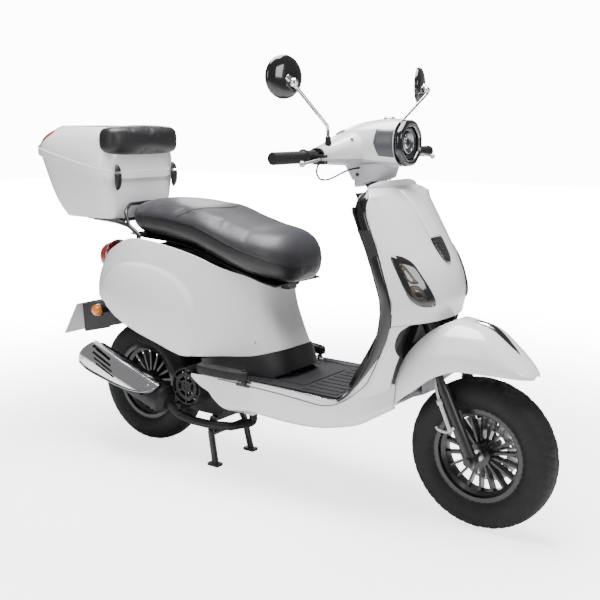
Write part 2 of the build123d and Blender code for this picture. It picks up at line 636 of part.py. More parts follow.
# ---------------------------------------------------------------- top case
def case_ring(z, rear, front, half, tilt, grow=0.0, power=4.2):
    return level_ring(z, rear - grow, front + grow, half + grow, power, tilt)


BASE_LEVELS = [(807.4, -292, -26, 150, 0.0), (860, -338, -16, 166, 0.05), (920, -368, -12, 178, 0.12), (986.6, -396, -10, 190, CASE_TILT)]
LID_LEVELS = [(999, -400, -8, 192, CASE_TILT), (1040, -390, -8, 186, 0.17), (1085, -362, -14, 168, 0.08), (1118, -318, -36, 140, 0.02)]


def top_case():
    base = Solid.make_loft([case_ring(*s) for s in BASE_LEVELS])
    hollow = Solid.make_loft([case_ring(z + (PLATE if i == 0 else 4 if i == 3 else 0), *rest, grow=-PLATE) for i, (z, *rest) in enumerate(BASE_LEVELS)])
    save("topcase_base", biggest(base - hollow))
    lid = Solid.make_loft([case_ring(*s) for s in LID_LEVELS])
    band = Solid.make_loft([case_ring(987, -400, -8, 192, CASE_TILT, 5), case_ring(1012, -399, -8, 192, CASE_TILT, 5)])
    inside = Solid.make_loft([case_ring(z + (-14 if i == 0 else -PLATE if i == 3 else 0), *rest, grow=-PLATE) for i, (z, *rest) in enumerate(LID_LEVELS)])
    save("topcase_lid", biggest((lid + band) - inside))
    pad = Solid.make_loft([side_ring(y, -34 + dx, 1071, hx, hz, 3.2) for y, dx, hx, hz in (
        (-160, -6, 18, 22), (-140, 0, 38, 42), (-60, 8, 44, 48), (60, 8, 44, 48), (140, 0, 38, 42), (160, -6, 18, 22))])
    lid_solid = Solid.make_loft([case_ring(*s, grow=0.3) for s in LID_LEVELS])
    save("backrest_pad", biggest(pad - lid_solid))


# ---------------------------------------------------------------- handlebar group
def head_solid(inset=0.0):
    """Outer form of the steering head covers: lamp barrel, two wings and the neck."""
    barrel = Solid.make_loft([
        cross_ring(824 - inset, 46 - inset, 1032 + inset, 1096 - inset), cross_ring(860, 74 - inset, 1006 + inset, 1122 - inset),
        cross_ring(930, 84 - inset, 1000 + inset, 1138 - inset), cross_ring(1000, 74 - inset, 1006 + inset, 1142 - inset),
        cross_ring(LAMP_X - 14 + inset * 4, LAMP_R + 3 - inset, LAMP_Z - 64 + inset, LAMP_Z + 64 - inset),
    ])
    wings = Solid.make_loft([
        side_ring(-222 - inset * 4, BAR_X + 2, BAR_Z + 1, 27 - inset, 24 - inset), side_ring(-140, BAR_X + 4, 1050, 44 - inset, 36 - inset),
        side_ring(0, BAR_X + 10, 1062, 62 - inset, 54 - inset), side_ring(140, BAR_X + 4, 1050, 44 - inset, 36 - inset),
        side_ring(222 + inset * 4, BAR_X + 2, BAR_Z + 1, 27 - inset, 24 - inset),
    ])
    neck = Solid.make_loft([
        level_ring(968 - inset * 3, 862 + inset, 968 - inset, 54 - inset, 2.6), level_ring(1040, 820 + inset, 985 - inset, 66 - inset, 2.6),
    ])
    return barrel + wings + neck


def head_covers():
    shell = head_solid() - head_solid(PLATE)
    split = [(780, 1030), (900, 1033), (1060, 1016), (1060, 1240), (780, 1240)]
    upper_room = prism(split, -300, 300)
    lower_room = prism([(x, z - GAP) for x, z in split[:3]] + [(1060, 900), (780, 900)], -300, 300)
    foot = []
    for s in (-1, 1):
        x, y, z = MIRROR_FOOT
        foot.append(rod((x - 4, s * y, BAR_Z - 4), (x - 4, s * y, z + 4), 7.4))
    upper = biggest(shell & upper_room)
    for f in foot:
        upper = upper - f
    screw_holes = rod((905, -100, 985), (905, -30, 985), 4)
    x0, z0 = 838, 1092
    dial = rod((x0, 0, z0), (x0 - 20, 0, z0 + 60), 39 + GAP)
    upper = biggest(upper - dial)
    lower = biggest((shell & lower_room) - screw_holes)
    save("headset_upper", upper)
    save("headset_lower", lower)
    save("speedometer", rod((x0, 0, z0), (x0 - 6, 0, z0 + 18), 39))
    bezel = rod((LAMP_X - 13.7, 0, LAMP_Z), (LAMP_X + 8, 0, LAMP_Z), LAMP_R + 3, LAMP_R - 4)
    bezel = bezel - rod((LAMP_X - 15, 0, LAMP_Z), (LAMP_X + 9, 0, LAMP_Z), LAMP_R - 14)
    bowl = rod((LAMP_X - 44, 0, LAMP_Z), (LAMP_X - 14, 0, LAMP_Z), LAMP_R - 20, LAMP_R - 8)
    bowl = bowl - rod((LAMP_X - 41, 0, LAMP_Z), (LAMP_X - 13, 0, LAMP_Z), LAMP_R - 23, LAMP_R - 11)
    lens = rod((LAMP_X - 7, 0, LAMP_Z), (LAMP_X - 2, 0, LAMP_Z), LAMP_R - 14.3)
    save("headlight", biggest(bezel), biggest(bowl), lens)


def handlebar():
    bar = rod((BAR_X, -GRIP_OUT + 4, BAR_Z), (BAR_X, GRIP_OUT - 4, BAR_Z), BAR_R)
    stem = rod(axis_point(HEAD_HIGH_Z), axis_point(HEAD_HIGH_Z + 112), STEM_R + RUN)
    bar = (bar + rod(axis_point(HEAD_HIGH_Z + 82), (BAR_X, 0, BAR_Z), 18)) - stem
    perches = []
    for s in (-1, 1):
        clamp = ring((BAR_X, s * 236, BAR_Z), (BAR_X, s * 276, BAR_Z), 18, BAR_R + RUN)
        arm = block(BAR_X + 8, BAR_X + 50, min(s * 240, s * 262), max(s * 240, s * 262), BAR_Z - 18, BAR_Z + 6)
        slot = block(BAR_X + 27, BAR_X + 60, min(s * 234, s * 266), max(s * 234, s * 266), BAR_Z - 10.3, BAR_Z - 1.7)
        hole = rod((BAR_X + 38, s * 251, BAR_Z - 30), (BAR_X + 38, s * 251, BAR_Z + 20), 4 + RUN)
        switch = rod((BAR_X - 24, s * 268, BAR_Z + 2), (BAR_X - 24, s * 244, BAR_Z + 2), 12)
        perch = (clamp + arm) - slot - hole - rod((BAR_X, -300, BAR_Z), (BAR_X, 300, BAR_Z), BAR_R + RUN)
        pocket = block(BAR_X - 52, BAR_X - 20, min(s * 250, s * 262), max(s * 250, s * 262), BAR_Z - 4, BAR_Z + 8)
        perches.append(biggest((perch + (switch - rod((BAR_X, -300, BAR_Z), (BAR_X, 300, BAR_Z), 17))) - pocket))
        perches.append(rod((BAR_X + 38, s * 251, BAR_Z - 18), (BAR_X + 38, s * 251, BAR_Z + 6), 4))
    save("handlebar", bar, *perches)
    for s, name in ((-1, "brake_lever_right"), (1, "brake_lever_left")):
        x, z = BAR_X + 38, BAR_Z - 6
        boss = ring((x, s * 251, z - 4), (x, s * 251, z + 4), 8, 4 + RUN)
        blade_pts = [(x - 2, s * 256, z), (x + 14, s * 290, z - 1), (x + 12, s * 330, z - 6), (x + 10, s * 352, z - 9)]
        blade = bent_tube(blade_pts, 3.9, 18)
        ball = Solid.make_sphere(8.5, Plane(origin=(x + 10, s * 353, z - 9)))
        lever = (boss + blade + ball) - rod((x, s * 251, z - 20), (x, s * 251, z + 20), 4 + RUN)
        save(name, biggest(lever))
    for s, name in ((-1, "throttle_grip"), (1, "left_grip")):
        body = rod((BAR_X, s * GRIP_IN, BAR_Z), (BAR_X, s * GRIP_OUT, BAR_Z), GRIP_R)
        flange = rod((BAR_X, s * GRIP_IN, BAR_Z), (BAR_X, s * (GRIP_IN + 5), BAR_Z), GRIP_R + 5)
        grip = (body + flange) - rod((BAR_X, s * (GRIP_IN - 1), BAR_Z), (BAR_X, s * (GRIP_OUT - 4), BAR_Z), BAR_R + RUN)
        save(name, biggest(grip))
    for s, name in ((-1, "starter_button"), (1, "horn_button")):
        y0, y1 = min(s * 250.4, s * 261.6), max(s * 250.4, s * 261.6)
        save(name, block(BAR_X - 40, BAR_X - 25, y0, y1, BAR_Z - 3.6, BAR_Z + 7.6))
    route = [
        (914, -264.2, 1024), (919, -281, 1016), (923, -291, 999), (926, -280, 983), (928, -251, 979), (927, -213, 985),
        (923, -172, 994), (918, -130, 1001), (914, -92, 1004), (911, -60.4, 1004),
    ]
    save("brake_cable", bent_tube(route, 2.6, cord_radii(route)))


def mirrors():
    stems = []
    for s in (-1, 1):
        fx, fy, fz = MIRROR_FOOT
        ex, ey, ez = MIRROR_ELBOW
        boot = rod((fx - 4, s * fy, BAR_Z + 9.6), (fx - 4, s * fy, fz + 16), 7)
        stem = bent_tube([(fx - 4, s * fy, fz + 14), (fx - 4, s * (fy + 1), fz + 42), (ex, s * ey, ez), (ex - 6, s * (ey + 2), ez + 8)], 5, [20, 4])
        ball = Solid.make_sphere(8, Plane(origin=(ex - 6, s * (ey + 2), ez + 10)))
        stems.append(biggest(boot + stem + ball))
    save("mirror_stems", *stems)
    for s, name in ((-1, "mirror_head_right"), (1, "mirror_head_left")):
        mx, my, mz = MIRROR_AT[0], s * MIRROR_AT[1], MIRROR_AT[2]
        a = radians(MIRROR_TURN)
        back = Vector(cos(a), s * sin(a), 0)
        centre = Vector(mx, my, mz)
        plane = Plane(origin=centre, z_dir=back)
        shell = Solid.make_cone(MIRROR_R, 40, 12, plane) + Solid.make_cylinder(MIRROR_R, 6, Plane(origin=centre - back * 6, z_dir=back))
        pocket = Solid.make_cylinder(MIRROR_R - 3, 4, Plane(origin=centre - back * 7, z_dir=back))
        ex, ey, ez = MIRROR_ELBOW
        ball_at = Vector(ex - 6, s * (ey + 2), ez + 10)
        cup = Solid.make_sphere(12, Plane(origin=ball_at)) + rod(ball_at, centre + back * 8, 9)
        room = Solid.make_sphere(8 + RUN, Plane(origin=ball_at))
        neck = rod(ball_at, Vector(ex + 2, s * (ey - 8), ez - 16), 6.8, 18)
        head = biggest(((shell - pocket) + cup) - room - neck)
        glass = Solid.make_cylinder(MIRROR_R - 3, 2.5, Plane(origin=centre - back * 5.5, z_dir=back))
        save(name, head, glass)


# ---------------------------------------------------------------- frame and engine
def frame():
    head = ring(axis_point(HEAD_LOW_Z), axis_point(HEAD_HIGH_Z), HEAD_TUBE_R, HEAD_TUBE_BORE)
    races = []
    for z in (HEAD_LOW_Z, HEAD_HIGH_Z - 14):
        races.append(ring(axis_point(z), axis_point(z + 14), HEAD_TUBE_BORE, STEM_R + RUN))
    keel = bent_tube([(1052, 0, 668), (1028, 0, 560), (990, 0, 480), (944, 0, 390), (900, 0, 312), (840, 0, 290), (700, 0, 290)], 19, 45)
    room = rod(axis_point(HEAD_LOW_Z - 40), axis_point(HEAD_HIGH_Z + 40), HEAD_TUBE_BORE)
    cross = [rod((x, -RAIL_Y, 290), (x, RAIL_Y, 290), RAIL_R) for x in (708, 812)]
    rails = []
    for s in (-1, 1):
        rails.append(bent_tube([(x, s * RAIL_Y, z) for x, z in RAIL_LINE], RAIL_R, 40))
    px, pz = ENGINE_PIVOT
    hangers = [block(px - 12, 450, s * RAIL_Y - 5, s * RAIL_Y + 5, pz - 16, pz + 12) for s in (-1, 1)]
    bolt = rod((px, -RAIL_Y - 8, pz), (px, RAIL_Y + 8, pz), ENGINE_BOLT_R)
    shock_plate = block(SHOCK_X - 16, SHOCK_X + 20, SHOCK_Y + 14, SHOCK_Y + 20, SHOCK_HIGH_Z - 11, 700)
    shock_bolt = rod((SHOCK_X, SHOCK_Y - 16, SHOCK_HIGH_Z), (SHOCK_X, SHOCK_Y + 20, SHOCK_HIGH_Z), 6)
    hx, hz = SEAT_HINGE
    post = bent_tube([(560, 0, 290), (562, 0, 420), (568, 0, 540), (576, 0, 618)], 10, 60)
    pin = rod((hx, -34, hz), (hx, 34, hz), 4)
    lug = block(566, hx - 2, -20, 20, hz - 18, hz - 8) + block(hx - 8, hx + 5, -20, 20, hz - 18, hz + 6)
    bridge = rod((560, -RAIL_Y, 289), (560, RAIL_Y, 289), RAIL_R)
    tail_bar = rod((-4, -RAIL_Y, 691), (-4, RAIL_Y, 691), 10)
    fx, fy, fz = RACK_FOOT
    tail_legs = [rod((fx, s * fy, 712), (fx, s * fy, fz), 7) for s in (-1, 1)]
    parts = [keel, *cross, *rails, *hangers, shock_plate, shock_bolt, post, lug, bridge, tail_bar, *tail_legs]
    whole = head
    for p in parts:
        whole = whole + p
    whole = (whole - room) + pin + bolt
    save("frame", biggest(whole), *races)


def engine():
    px, pz = ENGINE_PIVOT
    cx, cz = CRANK
    case = prism([(232, 180), (250, 168), (380, 168), (398, 200), (398, 300), (360, 322), (250, 322), (232, 300)], -72, 62)
    hanger = rod((px, -52, pz), (px, 52, pz), 20) + block(340, px, -52, 52, 300, 338)
    belt_case = prism([(385, 275), (372, 326), (330, 356), (240, 352), (60, 300), (-40, 276), (-72, 232), (-62, 180), (-20, 150), (60, 142), (240, 186), (360, 200)], 64, 148)
    arm = block(232, 395, 55, 70, 200, 300)
    shaft = rod((0, -44, TYRE_R), (0, 70, TYRE_R), AXLE_R + 2)
    nut = rod((0, -56, TYRE_R), (0, -HUB_HALF - 0.5, TYRE_R), 14)
    lug = block(SHOCK_X - 14, SHOCK_X + 14, SHOCK_Y + 12, SHOCK_Y + 20, 262, SHOCK_LOW_Z + 12)
    lug2 = block(SHOCK_X - 14, SHOCK_X + 14, SHOCK_Y - 20, SHOCK_Y - 12, 262, SHOCK_LOW_Z + 12)
    sx, sz = STAND_PIVOT
    stand_bar = rod((sx, -70, sz), (sx, 70, sz), 7)
    stand_lug = block(sx - 12, sx + 12, -60, 60, sz - 6, 170)
    cavity = rod((cx, -66, cz), (cx, 62, cz), 38)
    whole = case + belt_case + arm + hanger + lug + lug2 + shaft + nut + stand_lug + stand_bar
    belt_room = prism([(376, 275), (362, 318), (325, 345), (250, 338), (150, 312), (150, 190), (240, 200), (350, 212)], 74, 140)
    whole = whole - cavity - belt_room - rod((cx, -100, cz), (cx, 75, cz), 12 + RUN) - rod((px, -80, pz), (px, 80, pz), ENGINE_BOLT_R + RUN)
    fan_cover = ring((cx, -150, cz), (cx, -74, cz), FAN_HOUSING_R, FAN_HOUSING_R - 4)
    grid = ring((cx, -150, cz), (cx, -144, cz), 46, 34) + ring((cx, -150, cz), (cx, -144, cz), 22, 12)
    for i in range(6):
        bar = block(-3, 3, -150, -144, 0, FAN_HOUSING_R - 2).rotate(Axis.Y, 60 * i).moved(Location((cx, 0, cz)))
        grid = grid + bar
    flange = ring((cx, -78, cz), (cx, -72, cz), FAN_HOUSING_R, 40)
    save("engine_case", biggest(whole), biggest(fan_cover + grid + flange))
    cylinder = rod((398, -8, 232), (470, -8, 232), 34)
    for i in range(7):
        cylinder = cylinder + block(404 + 9 * i, 408 + 9 * i, -56, 40, 190, 276)
    head = block(470, 508, -58, 42, 190, 278)
    plug = rod((488, -58, 240), (488, -74, 236), 8)
    save("cylinder", biggest(cylinder + head + plug))
    crank = rod((cx, -128, cz), (cx, 128, cz), 12)
    webs = rod((cx, -26, cz), (cx, -8, cz), 34) + rod((cx, 8, cz), (cx, 26, cz), 34)
    fan = rod((cx, -138, cz), (cx, -120, cz), 16)
    for i in range(12):
        blade = block(10, 52, -138, -100, -1.5, 1.5).rotate(Axis.Y, 30 * i).moved(Location((cx, 0, cz)))
        fan = fan + blade
    disc = rod((cx, -100, cz), (cx, -96, cz), 53)
    pulley = rod((cx, 84, cz), (cx, 102, cz), 24, 50) + rod((cx, 108, cz), (cx, 126, cz), 50, 24)
    save("crankshaft", biggest(crank + webs + fan + disc + pulley))


def exhaust():
    header = bent_tube([(489, -32, 189.7), (489, -32, 158), (452, -100, 154), (390, -126, 154), (310, -128, 154), (255, -134, 164), (196, -150, 218)], 14, [14, 26, 26, 26, 30])
    a, b = Vector(208, -152, 214), Vector(-118, -158, 320)
    can = rod(a, b, 50)
    ends = rod(b, b + (b - a).normalized() * 14, 50, 34) + rod(a - (b - a).normalized() * 16, a, 28, 50)
    outlet = rod(b, b + (b - a).normalized() * 34, 12)
    bosses = []
    for t in (0.2, 0.78):
        p = a + (b - a) * t
        bosses.append(rod(p + Vector(0, -46, 0), p + Vector(0, -56.6, 0), 6))
    stay = block(232, 262, -140, -72, 186, 206)
    save("exhaust_pipe", biggest(header + can + ends + outlet + stay + bosses))
    leaf = [(-148, 308), (-136, 346), (-92, 388), (-28, 404), (23, 398), (83, 374), (154, 325), (208, 274), (204, 259), (150, 244), (60, 246), (-36, 262), (-114, 280)]
    shield = soft_prism(leaf, -226, -170)
    tube_room = rod(a + (b - a) * -0.2, b + (b - a) * 0.2, 57)
    far = rod(a + (b - a) * -0.2, b + (b - a) * 0.2, 62)
    skin = (shield & far) - tube_room
    for i in range(4):
        x0, z0 = -96 + 12 * i, 366 - 18 * i
        slot = block(0, 96, -240, -150, -3, 3).rotate(Axis.Y, 22).moved(Location((x0, 0, z0)))
        skin = skin - slot
    save("heat_shield", biggest(skin))


def stand():
    sx, sz = STAND_PIVOT
    legs = []
    for s in (-1, 1):
        hub = ring((sx, s * 61, sz), (sx, s * 72, sz), 14, 7 + RUN)
        out = rod((sx + 1, s * 71, sz - 1), (sx + 6, s * STAND_HALF, sz - 34), STAND_R)
        leg = rod((sx + 6, s * STAND_HALF, sz - 34), (STAND_FOOT_X, s * (STAND_HALF + 6), 8), STAND_R)
        foot = block(STAND_FOOT_X - 24, STAND_FOOT_X + 20, s * (STAND_HALF + 6) - 14, s * (STAND_HALF + 6) + 14, 0, 10)
        legs.append((hub + out + leg + foot) - rod((sx, s * 50, sz), (sx, s * 90, sz), 7 + RUN))
    tie = rod((355, -STAND_HALF, 108), (355, STAND_HALF, 108), 9)
    whole = (tie + legs[0] + legs[1]) - block(300, 400, -150, 150, -40, 0)
    save("centre_stand", biggest(whole))


def shock():
    x, y = SHOCK_X, SHOCK_Y
    eye = ring((x, y - 11, SHOCK_HIGH_Z), (x, y + 11, SHOCK_HIGH_Z), 15, 6 + RUN)
    body = ring((x, y, SHOCK_HIGH_Z - 130), (x, y, SHOCK_HIGH_Z - 12), 19, 9)
    seat_ring = rod((x, y, SHOCK_HIGH_Z - 24), (x, y, SHOCK_HIGH_Z - 16), 31)
    save("shock_upper", biggest((body + seat_ring + eye) - rod((x, y - 20, SHOCK_HIGH_Z), (x, y + 30, SHOCK_HIGH_Z), 6 + RUN)))
    low_eye = rod((x, y - 11.7, SHOCK_LOW_Z), (x, y + 11.7, SHOCK_LOW_Z), 12)
    piston = rod((x, y, SHOCK_LOW_Z), (x, y, SHOCK_HIGH_Z - 110), 6)
    cup = rod((x, y, SHOCK_LOW_Z + 22), (x, y, SHOCK_LOW_Z + 30), 31)
    guide = rod((x, y, SHOCK_HIGH_Z - 128), (x, y, SHOCK_HIGH_Z - 110), 9 - RUN)
    save("shock_lower", biggest(low_eye + piston + cup + guide))
    low, high = SHOCK_LOW_Z + 30.3, SHOCK_HIGH_Z - 24.3
    turns = 9
    pitch = (high - low - 8) / turns
    helix = Helix(pitch, high - low - 8, 25, center=(x, y, low + 4))
    coil = sweep(Plane(origin=helix @ 0, z_dir=helix % 0) * Circle(3.6), path=helix)
    save("shock_spring", coil)


def footrests():
    for s, name in ((-1, "footrest_right"), (1, "footrest_left")):
        y = s * 203
        low, high = FLOOR_Z + 10.4, FLOOR_Z + 40
        pts = [(604, y - s * 6), (606, y + s * 12), (560, y + s * 30), (500, y + s * 33), (440, y + s * 30), (410, y + s * 12), (424, y - s * 2), (500, y - s * 6), (570, y - s * 8)]
        face = make_face(Spline(*[(px, py, low) for px, py in pts], periodic=True))
        pad = extrude(face, amount=high - low, dir=(0, 0, 1)).solid()
        pad = pad - rod((592, y, low - 2), (592, y, high + 2), 5 + RUN)
        save(name, biggest(pad))


def kickstart():
    x, y, z = 120, 150, 232
    hub = rod((x, y - 1.5, z), (x, y + 16, z), 12)
    arm = rod((x, y + 9, z), (x + 130, y + 12, z + 36), 7)
    pedal = rod((x + 128, y + 9, z + 36), (x + 128, y + 52, z + 36), 8)
    save("kickstart_lever", biggest(hub + arm + pedal))


def build():
    front_wheel()
    rear_wheel()
    fork()
    front_brake()
    fender()
    shield()
    inner_panel()
    horn_cover()
    signals()
    floor()
    rear_body()
    side_covers()
    skirt()
    bucket()
    seat()
    tail()
    rack()
    top_case()
    head_covers()
    handlebar()
    mirrors()
    frame()
    engine()
    exhaust()
    stand()
    shock()
    footrests()
    kickstart()


if __name__ == "__main__":
    build()
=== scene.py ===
import bmesh
import bpy
import math
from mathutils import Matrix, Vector
from mathutils.bvhtree import BVHTree


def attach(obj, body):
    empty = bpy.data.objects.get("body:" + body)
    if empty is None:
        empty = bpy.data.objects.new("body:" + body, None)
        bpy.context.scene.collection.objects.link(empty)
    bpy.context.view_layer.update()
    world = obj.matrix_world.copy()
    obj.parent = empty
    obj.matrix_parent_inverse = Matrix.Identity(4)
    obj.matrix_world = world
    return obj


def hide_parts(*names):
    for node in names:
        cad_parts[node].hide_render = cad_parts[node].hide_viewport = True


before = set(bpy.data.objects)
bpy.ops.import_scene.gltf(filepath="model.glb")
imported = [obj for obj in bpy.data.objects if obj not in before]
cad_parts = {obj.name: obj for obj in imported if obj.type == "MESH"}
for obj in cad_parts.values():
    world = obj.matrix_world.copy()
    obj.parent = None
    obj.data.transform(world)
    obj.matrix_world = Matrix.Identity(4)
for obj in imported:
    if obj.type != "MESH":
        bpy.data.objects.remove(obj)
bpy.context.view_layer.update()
mm = 0.001
rearAxleX = -0.5525  # place of the rear axle along the scooter


def at(x, y, z):
    # x forwards from the rear axle, y to the rider's left, z up, in millimetres
    return Vector((x * mm + rearAxleX, y * mm, z * mm))


# camera, floor and light

view = {
    "place": (2358.9, -2325.8, 1132.5),
    "turnDeg": 36.2,
    "dipDeg": 10.8,
    "lensMm": 55.98,
    "sensorMm": 36.0,
}


def makeCamera():
    data = bpy.data.cameras.new("studioCamera")
    data.lens = view["lensMm"]
    data.sensor_width = view["sensorMm"]
    camera = bpy.data.objects.new("studioCamera", data)
    bpy.context.collection.objects.link(camera)
    camera.location = at(*view["place"])
    turn, dip = math.radians(view["turnDeg"]), math.radians(view["dipDeg"])
    aim = Vector((-math.sin(turn) * math.cos(dip), math.cos(turn) * math.cos(dip), -math.sin(dip)))
    camera.rotation_euler = aim.to_track_quat("-Z", "Y").to_euler()
    bpy.context.scene.camera = camera


studio = {
    "floorColor": (1.0, 1.0, 1.0, 1.0),
    "worldColor": (1.0, 1.0, 1.0, 1.0),
    "worldStrength": 0.26,
    "backdropStrength": 16.0,
    "floorNear": 2.4,
    "floorFar": 16.0,
}


def makeStudio():
    world = bpy.data.worlds.new("paleRoom")
    world.use_nodes = True
    tree = world.node_tree
    glow = tree.nodes["Background"]
    glow.inputs["Color"].default_value = studio["worldColor"]
    glow.inputs["Strength"].default_value = studio["worldStrength"]
    backdrop = tree.nodes.new("ShaderNodeBackground")
    backdrop.inputs["Strength"].default_value = studio["backdropStrength"]
    seen = tree.nodes.new("ShaderNodeLightPath")
    either = tree.nodes.new("ShaderNodeMixShader")
    tree.links.new(seen.outputs["Is Camera Ray"], either.inputs["Fac"])
    tree.links.new(glow.outputs["Background"], either.inputs[1])
    tree.links.new(backdrop.outputs["Background"], either.inputs[2])
    tree.links.new(either.outputs["Shader"], tree.nodes["World Output"].inputs["Surface"])
    bpy.context.scene.world = world
    mesh = bpy.data.meshes.new("studioFloor")
    half = 14.0
    mesh.from_pydata([(-half, -half, 0), (half, -half, 0), (half, half, 0), (-half, half, 0)], [],
                     [(0, 1, 2, 3)])
    floor = bpy.data.objects.new("studioFloor", mesh)
    bpy.context.collection.objects.link(floor)
    paint = bpy.data.materials.new("floorPaint")
    paint.use_nodes = True
    shader = paint.node_tree.nodes["Principled BSDF"]
    shader.inputs["Base Color"].default_value = studio["floorColor"]
    shader.inputs["Roughness"].default_value = 0.9
    shader.inputs["Specular IOR Level"].default_value = 0.1
    links = paint.node_tree.links.new
    place = paint.node_tree.nodes.new("ShaderNodeTexCoord")
    away = paint.node_tree.nodes.new("ShaderNodeVectorMath")
    away.operation = "LENGTH"
    fade = paint.node_tree.nodes.new("ShaderNodeMapRange")
    fade.interpolation_type = "SMOOTHSTEP"
    for socket, value in (("From Min", 0.9), ("From Max", 3.4), ("To Min", studio["floorNear"]),
                          ("To Max", studio["floorFar"])):
        fade.inputs[socket].default_value = value
    ray = paint.node_tree.nodes.new("ShaderNodeLightPath")
    only = paint.node_tree.nodes.new("ShaderNodeMath")
    only.operation = "MULTIPLY"
    shine = paint.node_tree.nodes.new("ShaderNodeEmission")
    both = paint.node_tree.nodes.new("ShaderNodeAddShader")
    links(place.outputs["Object"], away.inputs[0])
    links(away.outputs["Value"], fade.inputs["Value"])
    links(fade.outputs["Result"], only.inputs[0])
    links(ray.outputs["Is Camera Ray"], only.inputs[1])
    links(only.outputs["Value"], shine.inputs["Strength"])
    links(shader.outputs["BSDF"], both.inputs[0])
    links(shine.outputs["Emission"], both.inputs[1])
    links(both.outputs["Shader"], paint.node_tree.nodes["Material Output"].inputs["Surface"])
    mesh.materials.append(paint)
    lamps = (
        # name, place in metres, size, power
        ("topBox", (0.0, -0.1, 3.4), 2.4, 300.0),
        ("rightBox", (0.4, -3.6, 1.8), 1.6, 26.0),
        ("frontBox", (3.4, -0.4, 1.9), 1.2, 34.0),
        ("rearBox", (-2.8, 2.2, 2.4), 1.6, 60.0),
    )
    for name, place, size, power in lamps:
        data = bpy.data.lights.new(name, "AREA")
        data.shape = "SQUARE"
        data.size = size
        data.energy = power
        lamp = bpy.data.objects.new(name, data)
        bpy.context.collection.objects.link(lamp)
        lamp.location = place
        lamp.rotation_euler = (Vector((0.1, 0, 0.5)) - Vector(place)).to_track_quat("-Z", "Y").to_euler()


makeCamera()
makeStudio()
print("camera and studio ready")

# finishes

def newMaterial(name, color, roughness, metallic=0.0, coat=0.0, specular=0.5):
    material = bpy.data.materials.new(name)
    material.use_nodes = True
    shader = material.node_tree.nodes["Principled BSDF"]
    shader.inputs["Base Color"].default_value = (*color, 1.0)
    shader.inputs["Roughness"].default_value = roughness
    shader.inputs["Metallic"].default_value = metallic
    shader.inputs["Coat Weight"].default_value = coat
    shader.inputs["Coat Roughness"].default_value = 0.06
    shader.inputs["Specular IOR Level"].default_value = specular
    return material


def addNoiseBump(material, scale, strength, distance, stretch=(1.0, 1.0, 1.0), cells=False):
    # fine grain, read from object coordinates so that it stays on the piece
    tree = material.node_tree
    shader = tree.nodes["Principled BSDF"]
    place = tree.nodes.new("ShaderNodeTexCoord")
    mapping = tree.nodes.new("ShaderNodeMapping")
    mapping.inputs["Scale"].default_value = stretch
    tree.links.new(place.outputs["Object"], mapping.inputs["Vector"])
    if cells:
        grain = tree.nodes.new("ShaderNodeTexVoronoi")
        grain.feature = "DISTANCE_TO_EDGE"
        height = grain.outputs["Distance"]
    else:
        grain = tree.nodes.new("ShaderNodeTexNoise")
        grain.inputs["Detail"].default_value = 4.0
        height = grain.outputs["Fac"]
    grain.inputs["Scale"].default_value = scale
    tree.links.new(mapping.outputs["Vector"], grain.inputs["Vector"])
    bump = tree.nodes.new("ShaderNodeBump")
    bump.inputs["Strength"].default_value = strength
    bump.inputs["Distance"].default_value = distance
    tree.links.new(height, bump.inputs["Height"])
    tree.links.new(bump.outputs["Normal"], shader.inputs["Normal"])
    return mapping


def addRoughnessWear(material, low, high, scale=9.0):
    # broad patches that are a little duller, as on handled parts
    tree = material.node_tree
    shader = tree.nodes["Principled BSDF"]
    place = tree.nodes.new("ShaderNodeTexCoord")
    patches = tree.nodes.new("ShaderNodeTexNoise")
    patches.inputs["Scale"].default_value = scale
    patches.inputs["Detail"].default_value = 5.0
    tree.links.new(place.outputs["Object"], patches.inputs["Vector"])
    spread = tree.nodes.new("ShaderNodeMapRange")
    spread.inputs["To Min"].default_value = low
    spread.inputs["To Max"].default_value = high
    tree.links.new(patches.outputs["Fac"], spread.inputs["Value"])
    tree.links.new(spread.outputs["Result"], shader.inputs["Roughness"])


